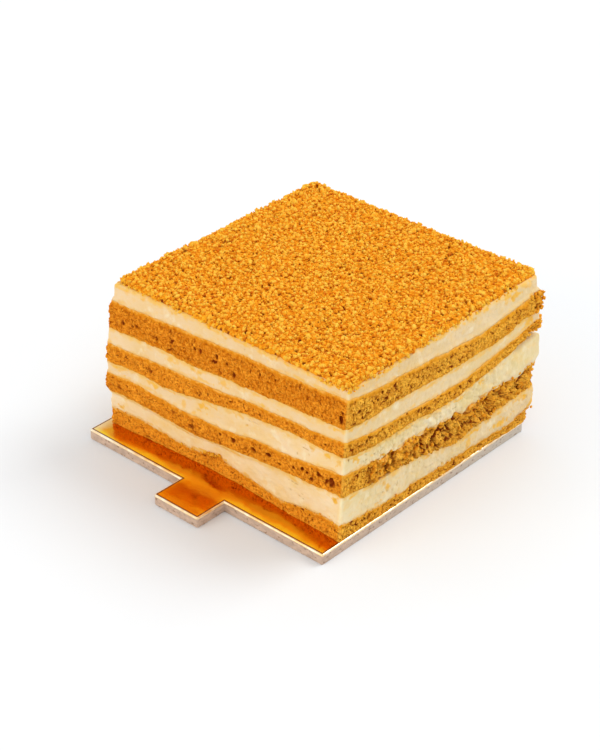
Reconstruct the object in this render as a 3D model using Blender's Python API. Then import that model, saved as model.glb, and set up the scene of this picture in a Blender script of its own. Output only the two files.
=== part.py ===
# A square portion of layered honey cake, stuck to its own gold card with a pull tab.
# Metres, +Z up. The origin is the middle of the card's underside, and the tab points to -Y.
#
# The cake's upright corners are called left, near, right and back, in the order met when walking
# round it anticlockwise from above. A place on the outline is a turn from 0 to 1: 0 at the left
# corner, then 0.25 at the near, 0.5 at the right and 0.75 at the back one. The front side runs
# from left to near and the right side from near to right.

import math
import random

import bmesh
import bpy
from mathutils import Vector, noise

MM = 0.001
OBJECT_NAME = "honey_cake"

# The card
CARD_WIDTH = 80.0 * MM
CARD_DEPTH = 77.5 * MM
CARD_THICKNESS = 3.0 * MM
CARD_CORNER = 0.5 * MM
CARD_RIM = 0.25 * MM
RIM_ANGLE = math.radians(60)
TAB_WIDTH = 15.0 * MM
TAB_REACH = 9.3 * MM
TAB_MIDDLE = 0.5 * MM
TAB_CORNER = 0.6 * MM

# The cake's upright sides, in millimetres: where its corners stand at the foot and at the top
FOOT_CORNERS = ((-38.4, -32.7), (39.6, -32.5), (39.9, 39.9), (-37.8, 39.9))
TOP_CORNERS = ((-36.2, -29.9), (40.0, -30.0), (39.3, 41.3), (-35.5, 41.8))
SIDE_HEIGHT = 42.0
FRONT_HOLLOW_FOOT = 1.6
FRONT_HOLLOW_TOP = 0.4

# The seams between one layer and the next, in millimetres above the card. The front and right sides
# are read every 32nd of the way round, and the two sides behind them every 8th.
SEAM_TURNS = (*[reading / 32 for reading in range(17)], 20 / 32, 24 / 32, 28 / 32)
SEAM_HEIGHTS = (
    (4.7, 4.5, 3.9, 3.4, 4.2, 3.4, 2.5, 4.3, 4.4, 3.7, 3.0, 3.5, 3.1, 3.2, 3.0, 3.0, 3.9, 4.2, 4.8, 4.4),
    (10.0, 9.8, 9.4, 8.5, 9.3, 10.2, 10.9, 12.0, 12.6, 11.3,
     11.2, 10.7, 8.8, 8.2, 9.0, 10.2, 10.4, 10.5, 11.0, 10.4),
    (15.4, 15.4, 14.6, 14.2, 14.5, 15.7, 16.2, 17.6, 18.6, 17.9,
     17.1, 17.2, 16.7, 16.1, 16.6, 16.7, 17.4, 16.5, 16.0, 15.4),
    (18.7, 18.6, 18.3, 19.2, 20.7, 22.0, 22.7, 23.1, 23.3, 22.3,
     22.2, 22.2, 21.7, 22.4, 23.7, 25.7, 27.8, 22.5, 21.0, 19.5),
    (24.0, 23.9, 24.1, 24.5, 24.8, 25.8, 26.2, 26.8, 27.7, 26.7,
     26.2, 25.8, 25.4, 25.8, 27.2, 28.8, 29.6, 26.0, 25.0, 24.2),
    (28.2, 28.5, 28.3, 28.0, 28.7, 29.1, 29.9, 30.5, 31.0, 30.6,
     30.9, 30.4, 30.1, 30.3, 30.6, 31.8, 32.6, 30.0, 29.5, 28.5),
    (36.0, 36.1, 36.4, 36.6, 37.0, 37.4, 37.6, 38.2, 38.8, 37.6,
     37.1, 36.8, 36.2, 35.6, 35.8, 36.8, 37.7, 36.5, 36.8, 36.0),
)
TOP_SEAM_CORNERS = (40.6, 41.2, 42.0, 41.5)

# Waves on the seams of the two sides behind, as uneven as the front ones
SEAM_WAVE = 0.5
SEAM_WAVES_ROUND = (9, 14)
SEAM_WAVE_SHIFT = 0.37

# How far each layer stands out past the upright sides at the left, near, right and back corners
LAYERS = (
    ("sponge_1", (0.0, 0.0, 0.3, 0.2)),
    ("cream_1", (0.2, 0.0, 1.2, 0.3)),
    ("sponge_2", (1.6, 0.3, 0.7, 1.0)),
    ("cream_2", (1.0, 0.1, 1.8, 0.8)),
    ("sponge_3", (1.4, 0.4, 1.8, 1.2)),
    ("cream_3", (1.2, 0.1, 1.4, 0.8)),
    ("sponge_4", (1.5, 0.3, 1.5, 1.2)),
    ("cream_4", (0.7, 0.0, 0.5, 0.3)),
)

# How finely a layer is cut up, and how rough its sides are, in millimetres
OUTLINE_POINTS = 80
SPONGE_ROWS = 3
CREAM_ROWS = 2
CORE_INSET = 14.0
SPONGE_RELIEF = 0.55
SPONGE_LUMP = 5.0
GRAIN_RELIEF = 0.22
GRAIN_LUMP = 1.25
CREAM_RELIEF = 0.25
CREAM_LUMP = 9.0
EDGE_ROUNDING = 0.25
CAP_INSET = 0.4

# The torn stretch of the second sponge on the right side: its turns, and its cavities
TORN_START = 0.285
TORN_END = 0.51
TORN_RELIEF = 0.9
TORN_LUMP = 2.5
CAVITY_TURNS = (0.3875, 0.45, 0.4875)
CAVITY_HALF_WIDTH = 0.009
CAVITY_DEPTH = 2.0

# Crumbs that stick out of the two upper sponges at the right corner
RIGHT_CORNER = 0.5
RAGGED_HALF_WIDTH = 0.05
RAGGED_RELIEF = 0.8
RAGGED_LUMP = 1.6

# The wedge where the third sponge lifts off the cream below it at the right corner
NOTCH_HALF_WIDTH = 0.05
NOTCH_DEPTH = 3.0

# The crumb topping, in millimetres
TOPPING_CELLS = (46, 44)
TOPPING_INSET = 0.3
TOPPING_THICKNESS = 1.4
TOPPING_EDGE_THICKNESS = 1.0
TOPPING_SWELL = 0.2
TOPPING_SWELL_SIZE = 11.0
CRUMB_LOW = -0.3
CRUMB_HIGH = 0.5
EDGE_CRUMB_SHARE = 0.5
CRUMB_SEED = 31
TOPPING_EDGE_WOBBLE = 0.4
TOPPING_EDGE_LUMP = 3.0
TOPPING_CORNER_SHARE = 0.08
TOPPING_CORNER_INSET = 0.9

# Space kept between neighbouring pieces
GAP = 0.3
HEIGHT_ROUNDS = 3

# One noise pattern for each kind of roughness, and each layer's own stretch of it
GRAIN_PATTERN = 20
TORN_PATTERN = 40
RAGGED_PATTERN = 50
SWELL_PATTERN = 60
WOBBLE_PATTERN = 70
PATTERN_STEP = Vector((7.3, 3.1, 1.7))

# Colour, roughness and metallic value of each material
FINISHES = {
    "sponge": ((0.62, 0.22, 0.02), 0.9, 0.0),
    "cream": ((0.92, 0.78, 0.52), 0.45, 0.0),
    "crumb": ((0.78, 0.32, 0.03), 0.95, 0.0),
    "gold": ((0.80, 0.40, 0.06), 0.2, 1.0),
}


def new_collection(name):
    """A collection in the scene, for the object's parts."""
    collection = bpy.data.collections.new(name)
    bpy.context.scene.collection.children.link(collection)
    return collection


def material(kind):
    """The material of one kind of piece, made the first time it is asked for."""
    if kind in bpy.data.materials:
        return bpy.data.materials[kind]
    color, roughness, metallic = FINISHES[kind]
    made = bpy.data.materials.new(kind)
    made.use_nodes = True
    shader = made.node_tree.nodes["Principled BSDF"]
    shader.inputs["Base Color"].default_value = (*color, 1.0)
    shader.inputs["Roughness"].default_value = roughness
    shader.inputs["Metallic"].default_value = metallic
    return made


def finish_object(bm, name, kind, collection):
    """Turns a bmesh into a named object of the collection."""
    mesh = bpy.data.meshes.new(name)
    bm.to_mesh(mesh)
    bm.free()
    mesh.materials.append(material(kind))
    made = bpy.data.objects.new(name, mesh)
    collection.objects.link(made)
    return made


def mix(a, b, share):
    return a + (b - a) * share


def corner_mix(values, turn):
    """A value at a turn, straight from each corner's value to the next one's."""
    side = turn * 4
    start = int(side) % 4
    return mix(values[start], values[(start + 1) % 4], side - int(side))


def bump(turn, middle, half_width):
    """A smooth hump, 1 at its middle turn and 0 past its half width."""
    away = abs(turn - middle)
    if away >= half_width:
        return 0.0
    return 0.5 + 0.5 * math.cos(math.pi * away / half_width)


def rough(place, size, pattern):
    """Smooth noise between about -1 and 1, in lumps of the given size."""
    return noise.noise(place / size + PATTERN_STEP * pattern)


def seam_read(heights, turn):
    """A seam's height at a turn, on a smooth curve through its readings."""
    count = len(SEAM_TURNS)
    last = max(index for index in range(count) if SEAM_TURNS[index] <= turn)

    turns = [SEAM_TURNS[index % count] + index // count for index in range(last - 1, last + 3)]
    before, start, end, after = [heights[index % count] for index in range(last - 1, last + 3)]
    width = turns[2] - turns[1]
    start_slope = (end - before) / (turns[2] - turns[0]) * width
    end_slope = (after - start) / (turns[3] - turns[1]) * width
    share = (turn - turns[1]) / width
    square = share**2
    cube = share**3
    return ((2 * cube - 3 * square + 1) * start + (cube - 2 * square + share) * start_slope
            + (3 * square - 2 * cube) * end + (cube - square) * end_slope)


def side_place(turn, height):
    """The upright side's place at a turn and a height, before any layer's own relief."""
    share = height / SIDE_HEIGHT
    corners = [Vector(foot).lerp(Vector(top), share) for foot, top in zip(FOOT_CORNERS, TOP_CORNERS)]
    place = corner_mix(corners, turn)
    if turn < 0.25:
        place.y += mix(FRONT_HOLLOW_FOOT, FRONT_HOLLOW_TOP, share) * math.sin(4 * math.pi * turn)
    return place


def core_place(turn):
    """Where a layer's upper and lower faces turn flat, well inside the cake."""
    corners = []
    for foot, top, toward in zip(FOOT_CORNERS, TOP_CORNERS, ((1, 1), (-1, 1), (-1, -1), (1, -1))):
        corners.append(Vector(foot).lerp(Vector(top), 0.5) + Vector(toward) * CORE_INSET)
    return corner_mix(corners, turn)


def seam_corners(seam):
    """A seam's four corner heights. The lowest seam is the card, the highest the topping's underside."""
    if seam == 0:
        return (GAP / 2,) * 4
    if seam > len(SEAM_HEIGHTS):
        return TOP_SEAM_CORNERS
    return tuple(SEAM_HEIGHTS[seam - 1][SEAM_TURNS.index(turn)] for turn in (0, 0.25, 0.5, 0.75))


def seam_plane(seam, place):
    """The tilted plane that a seam keeps to inside the cake."""
    left, near, right, back = seam_corners(seam)
    middles = [Vector(foot).lerp(Vector(top), 0.5) for foot, top in zip(FOOT_CORNERS, TOP_CORNERS)]
    middle = sum(middles, Vector((0, 0))) / 4
    slope_x = (near - left + right - back) / (middles[1].x - middles[0].x + middles[2].x - middles[3].x)
    slope_y = (back - left + right - near) / (middles[3].y - middles[0].y + middles[2].y - middles[1].y)
    return (left + near + right + back) / 4 + slope_x * (place.x - middle.x) + slope_y * (place.y - middle.y)


def seam_rise(seam, turn):
    """How far a seam leaves its plane at the upright side."""
    if seam == 0 or seam > len(SEAM_HEIGHTS):
        return 0.0
    height = seam_read(SEAM_HEIGHTS[seam - 1], turn)
    shifted = turn + SEAM_WAVE_SHIFT * seam
    wave = sum(math.sin(math.tau * rounds * shifted) for rounds in SEAM_WAVES_ROUND) / len(SEAM_WAVES_ROUND)
    behind = max(0.0, -math.sin(math.tau * turn))
    return height + SEAM_WAVE * wave * behind - seam_plane(seam, side_place(turn, height))


def relief(layer, turn, share, height):
    """How far a layer's side stands out at a turn, share of the way up the layer."""
    name, reach = LAYERS[layer]
    place = Vector((*side_place(turn, height), height))
    out = corner_mix(reach, turn)
    if name.startswith("cream"):
        out += CREAM_RELIEF * rough(place, CREAM_LUMP, layer)
    else:
        out += SPONGE_RELIEF * rough(place, SPONGE_LUMP, layer)
        out += GRAIN_RELIEF * rough(place, GRAIN_LUMP, GRAIN_PATTERN + layer)
        out -= EDGE_ROUNDING * (2 * share - 1) ** 4
    if name == "sponge_2" and TORN_START < turn < TORN_END:
        out += TORN_RELIEF * rough(place, TORN_LUMP, TORN_PATTERN)
        if 0 < share < 1:
            out -= CAVITY_DEPTH * max(bump(turn, cavity, CAVITY_HALF_WIDTH) for cavity in CAVITY_TURNS)
    if name in ("sponge_3", "sponge_4"):
        ragged = RAGGED_RELIEF * bump(turn, RIGHT_CORNER, RAGGED_HALF_WIDTH)
        out += ragged * rough(place, RAGGED_LUMP, RAGGED_PATTERN + layer)
    if name == "cream_2":
        out -= NOTCH_DEPTH * share**2 * bump(turn, RIGHT_CORNER, NOTCH_HALF_WIDTH)
    return out


def layer_vertex(layer, turn, share, on_side):
    """A layer's vertex: share of the way up its side, or on the flat middle of its lower or upper face."""
    core = core_place(turn)
    if not on_side:
        seam = layer if share < 0.5 else layer + 1
        height = seam_plane(seam, core) + (GAP / 2 if share < 0.5 else -GAP / 2)
        return Vector((*core, height))
    # The height settles in a few rounds, because the side leans and its relief hangs on the height
    height = mix(seam_corners(layer)[0], seam_corners(layer + 1)[0], share)
    for _ in range(HEIGHT_ROUNDS):
        stretch = 1 + relief(layer, turn, share, height) / CORE_INSET
        place = core + (side_place(turn, height) - core) * stretch
        foot = seam_plane(layer, place) + seam_rise(layer, turn) * stretch + GAP / 2
        top = seam_plane(layer + 1, place) + seam_rise(layer + 1, turn) * stretch - GAP / 2
        height = mix(foot, top, share)
    return Vector((*place, height))


def make_layer(layer, collection):
    """One sponge or cream layer: a drum whose round side is laid along the cake's square outline."""
    name = LAYERS[layer][0]
    kind = name.split("_")[0]
    rows = SPONGE_ROWS if kind == "sponge" else CREAM_ROWS
    bm = bmesh.new()
    bmesh.ops.create_cone(bm, cap_ends=True, segments=OUTLINE_POINTS, radius1=1, radius2=1, depth=1)
    faces = [face for face in bm.faces if len(face.verts) == OUTLINE_POINTS]
    uprights = [edge for edge in bm.edges if abs(edge.verts[0].co.z - edge.verts[1].co.z) > 0.5]
    bmesh.ops.inset_individual(bm, faces=faces, thickness=CAP_INSET, use_even_offset=True)
    bmesh.ops.subdivide_edges(bm, edges=uprights, cuts=rows - 1, use_grid_fill=True)
    for vertex in bm.verts:
        turn = round(math.atan2(vertex.co.y, vertex.co.x) / math.tau * OUTLINE_POINTS) % OUTLINE_POINTS
        share = round((vertex.co.z + 0.5) * rows) / rows
        on_side = vertex.co.xy.length > 1 - CAP_INSET / 2
        vertex.co = layer_vertex(layer, turn / OUTLINE_POINTS, share, on_side) * MM
        vertex.co.z += CARD_THICKNESS
    return finish_object(bm, name, kind, collection)


def topping_place(across, along):
    """A place on the topping, from its left edge across to the right and from its front edge to the back."""
    left, near, right, back = [Vector(corner) for corner in TOP_CORNERS]
    middle = (left + near + right + back) / 4
    place = left.lerp(near, across).lerp(back.lerp(right, across), along)
    inward = Vector((math.copysign(1, middle.x - place.x), math.copysign(1, middle.y - place.y)))
    edge = Vector((abs(2 * across - 1), abs(2 * along - 1)))
    wobble = TOPPING_EDGE_WOBBLE * rough(Vector((*place, 0)), TOPPING_EDGE_LUMP, WOBBLE_PATTERN)
    near_corner = max(0.0, 1 - (1 - min(edge)) / TOPPING_CORNER_SHARE)
    inset = TOPPING_INSET + wobble + TOPPING_CORNER_INSET * near_corner**2
    return place + inset * Vector((inward.x * edge.x, inward.y * edge.y))


def make_topping(collection):
    """The crumb topping: a fine sheet of crumb-sized bumps over a flat underside."""
    crumbs = random.Random(CRUMB_SEED)
    top_seam = len(LAYERS)
    bm = bmesh.new()
    bmesh.ops.create_grid(bm, x_segments=TOPPING_CELLS[0], y_segments=TOPPING_CELLS[1], size=0.5)
    rim = [edge for edge in bm.edges if edge.is_boundary]
    rim_vertices = {vertex for edge in rim for vertex in edge.verts}
    for vertex in bm.verts:
        place = topping_place(vertex.co.x + 0.5, vertex.co.y + 0.5)
        thickness = TOPPING_EDGE_THICKNESS if vertex in rim_vertices else TOPPING_THICKNESS
        swell = TOPPING_SWELL * rough(Vector((*place, 0)), TOPPING_SWELL_SIZE, SWELL_PATTERN)
        height = seam_plane(top_seam, place) + GAP / 2 + thickness + swell
        crumb = crumbs.uniform(CRUMB_LOW, CRUMB_HIGH) * (EDGE_CRUMB_SHARE if vertex in rim_vertices else 1.0)
        vertex.co = Vector((*place, height + crumb)) * MM
        vertex.co.z += CARD_THICKNESS
    skirt = bmesh.ops.extrude_edge_only(bm, edges=rim)["geom"]
    for vertex in skirt:
        if isinstance(vertex, bmesh.types.BMVert):
            vertex.co.z = CARD_THICKNESS + (seam_plane(top_seam, vertex.co.xy / MM) + GAP / 2) * MM
    hem = [edge for edge in skirt if isinstance(edge, bmesh.types.BMEdge) and edge.is_boundary]
    bmesh.ops.contextual_create(bm, geom=hem)
    bmesh.ops.recalc_face_normals(bm, faces=bm.faces)
    return finish_object(bm, "crumb_topping", "crumb", collection)


def bevel(bm, edges, width, segments):
    """Rounds edges over the given width."""
    bmesh.ops.bevel(bm, geom=edges, offset=width, segments=segments, affect="EDGES", profile=0.5, material=-1)


def upright_edges(bm, is_wanted):
    """The card's upright edges at the places that are wanted."""
    found = []
    for edge in bm.edges:
        low, high = sorted(vertex.co.z for vertex in edge.verts)
        if high - low > CARD_THICKNESS / 2 and is_wanted(edge.verts[0].co):
            found.append(edge)
    return found


def make_card(collection):
    """The card: a flat board with a short tab drawn out of its front side, and softened corners."""
    bm = bmesh.new()
    bmesh.ops.create_cube(bm, size=1)
    bmesh.ops.scale(bm, vec=(CARD_WIDTH, CARD_DEPTH, CARD_THICKNESS), verts=bm.verts)
    bmesh.ops.translate(bm, vec=(0, 0, CARD_THICKNESS / 2), verts=bm.verts)
    for tab_side in (TAB_MIDDLE - TAB_WIDTH / 2, TAB_MIDDLE + TAB_WIDTH / 2):
        everything = bm.verts[:] + bm.edges[:] + bm.faces[:]
        bmesh.ops.bisect_plane(bm, geom=everything, plane_co=(tab_side, 0, 0), plane_no=(1, 0, 0))
    root = [face for face in bm.faces
            if face.normal.y < -0.9 and abs(face.calc_center_median().x - TAB_MIDDLE) < TAB_WIDTH / 4]
    drawn = bmesh.ops.extrude_face_region(bm, geom=root)["geom"]
    bmesh.ops.delete(bm, geom=root, context="FACES_ONLY")
    tip = [vertex for vertex in drawn if isinstance(vertex, bmesh.types.BMVert)]
    bmesh.ops.translate(bm, vec=(0, -TAB_REACH, 0), verts=tip)
    bevel(bm, upright_edges(bm, lambda place: place.y < -CARD_DEPTH / 2 - TAB_REACH / 2), TAB_CORNER, 3)
    bevel(bm, upright_edges(bm, lambda place: abs(place.x) > CARD_WIDTH / 2 - MM), CARD_CORNER, 2)
    rim = []
    for edge in bm.edges:
        on_top = min(vertex.co.z for vertex in edge.verts) > CARD_RIM
        if on_top and edge.calc_face_angle(0) > RIM_ANGLE:
            rim.append(edge)
    bevel(bm, rim, CARD_RIM, 1)
    return finish_object(bm, "gold_card", "gold", collection)


def main():
    for leftover in list(bpy.data.objects):
        bpy.data.objects.remove(leftover)
    collection = new_collection(OBJECT_NAME)
    make_card(collection)
    for layer in range(len(LAYERS)):
        make_layer(layer, collection)
    make_topping(collection)


main()
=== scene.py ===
import itertools
import math
import random

import bmesh
import bpy
import numpy as np
from mathutils import Euler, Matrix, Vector


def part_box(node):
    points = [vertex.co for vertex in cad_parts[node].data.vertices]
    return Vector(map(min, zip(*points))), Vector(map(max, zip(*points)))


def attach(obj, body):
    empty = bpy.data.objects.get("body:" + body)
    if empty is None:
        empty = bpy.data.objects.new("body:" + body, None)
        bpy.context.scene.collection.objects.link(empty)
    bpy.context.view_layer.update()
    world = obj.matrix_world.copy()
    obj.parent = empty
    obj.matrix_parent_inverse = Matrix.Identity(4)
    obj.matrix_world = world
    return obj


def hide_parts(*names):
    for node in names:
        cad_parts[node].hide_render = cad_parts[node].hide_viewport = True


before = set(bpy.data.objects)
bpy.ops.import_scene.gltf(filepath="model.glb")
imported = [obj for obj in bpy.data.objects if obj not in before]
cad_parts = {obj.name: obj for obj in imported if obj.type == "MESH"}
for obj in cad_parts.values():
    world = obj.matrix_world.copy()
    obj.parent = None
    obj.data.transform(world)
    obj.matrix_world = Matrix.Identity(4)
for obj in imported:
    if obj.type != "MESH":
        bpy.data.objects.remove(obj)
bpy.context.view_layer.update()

# A square portion of layered honey cake on its gold pull-tab card.
# Metres, +Z up, tab towards -Y. Layer shapes are worked out in millimetres above the card.
#
# The cake's upright corners are left, near, right and back, met in that order when walking round it
# anticlockwise from above. A place on the outline is a turn from 0 to 1: 0 at the left corner, 0.25 at
# the near one, 0.5 at the right one and 0.75 at the back one.

MM = 0.001
card_low, card_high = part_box("gold_card")
CARD_TOP = card_high.z

# The cake's upright sides: where its corners stand at the foot and at the top
FOOT_CORNERS = np.array(((-38.4, -32.7), (39.6, -32.5), (39.9, 39.9), (-37.8, 39.9)))
TOP_CORNERS = np.array(((-36.2, -29.9), (40.0, -30.0), (39.3, 41.3), (-35.5, 41.8)))
SIDE_HEIGHT = 42.0
FRONT_HOLLOW_FOOT = 1.6
FRONT_HOLLOW_TOP = 0.4
OUTLINE_LENGTH = 300.0

# The seams between one layer and the next, in millimetres above the card. The front and right sides
# are read every 32nd of the way round, and the two sides behind them every 8th.
SEAM_TURNS = (*[reading / 32 for reading in range(17)], 20 / 32, 24 / 32, 28 / 32)
SEAM_HEIGHTS = (
    (4.7, 4.5, 3.9, 3.4, 4.2, 3.4, 2.5, 4.3, 4.4, 3.7, 3.0, 3.5, 3.1, 3.2, 3.0, 3.0, 3.9, 4.2, 4.8, 4.4),
    (10.0, 9.8, 9.4, 8.5, 9.3, 10.2, 10.9, 12.0, 12.6, 11.3,
     11.2, 10.7, 8.8, 8.2, 9.0, 10.2, 10.4, 10.5, 11.0, 10.4),
    (15.4, 15.4, 14.6, 14.2, 14.5, 15.7, 16.2, 17.6, 18.6, 17.9,
     17.1, 17.2, 16.7, 16.1, 16.6, 16.7, 17.4, 16.5, 16.0, 15.4),
    (18.7, 18.6, 18.3, 19.2, 20.7, 22.0, 22.7, 23.1, 23.3, 22.3,
     22.2, 22.2, 21.7, 22.4, 23.7, 25.7, 27.8, 22.5, 21.0, 19.5),
    (24.0, 23.9, 24.1, 24.5, 24.8, 25.8, 26.2, 26.8, 27.7, 26.7,
     26.2, 25.8, 25.4, 25.8, 27.2, 28.8, 29.6, 26.0, 25.0, 24.2),
    (28.2, 28.5, 28.3, 28.0, 28.7, 29.1, 29.9, 30.5, 31.0, 30.6,
     30.9, 30.4, 30.1, 30.3, 30.6, 31.8, 32.6, 30.0, 29.5, 28.5),
    (36.0, 36.1, 36.4, 36.6, 37.0, 37.4, 37.6, 38.2, 38.8, 37.6,
     37.1, 36.8, 36.2, 35.6, 35.8, 36.8, 37.7, 36.5, 36.8, 36.0),
)
TOP_SEAM_CORNERS = (40.6, 41.2, 42.0, 41.5)

# Waves on the seams of the two sides behind, as uneven as the front ones
SEAM_WAVE = 0.5
SEAM_WAVES_ROUND = (9, 14)
SEAM_WAVE_SHIFT = 0.37

# How far each layer stands out past the upright sides at the left, near, right and back corners
LAYERS = (
    ("sponge_1", (0.0, 0.0, 0.3, 0.2)),
    ("cream_1", (0.2, 0.0, 1.2, 0.3)),
    ("sponge_2", (1.6, 0.3, 0.7, 1.0)),
    ("cream_2", (1.0, 0.1, 1.8, 0.8)),
    ("sponge_3", (1.4, 0.4, 1.8, 1.2)),
    ("cream_3", (1.2, 0.1, 1.4, 0.8)),
    ("sponge_4", (1.5, 0.3, 1.5, 1.2)),
    ("cream_4", (0.7, 0.0, 0.5, 0.3)),
)
CORE_INSET = 14.0
SKIN_GAP = 0.02

# How finely the layers are cut up, and the rings on their upper and lower faces
OUTLINE_POINTS = {"sponge": 1700, "cream": 1300}
ROW_HEIGHT = {"sponge": 0.16, "cream": 0.25}
RING_RADII = (0.94, 0.86, 0.6)
RING_SHARES = (0.05, 0.2, 1.0)
CORNER_RADIUS = 0.9
CORNER_SET_IN = 0.29

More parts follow.
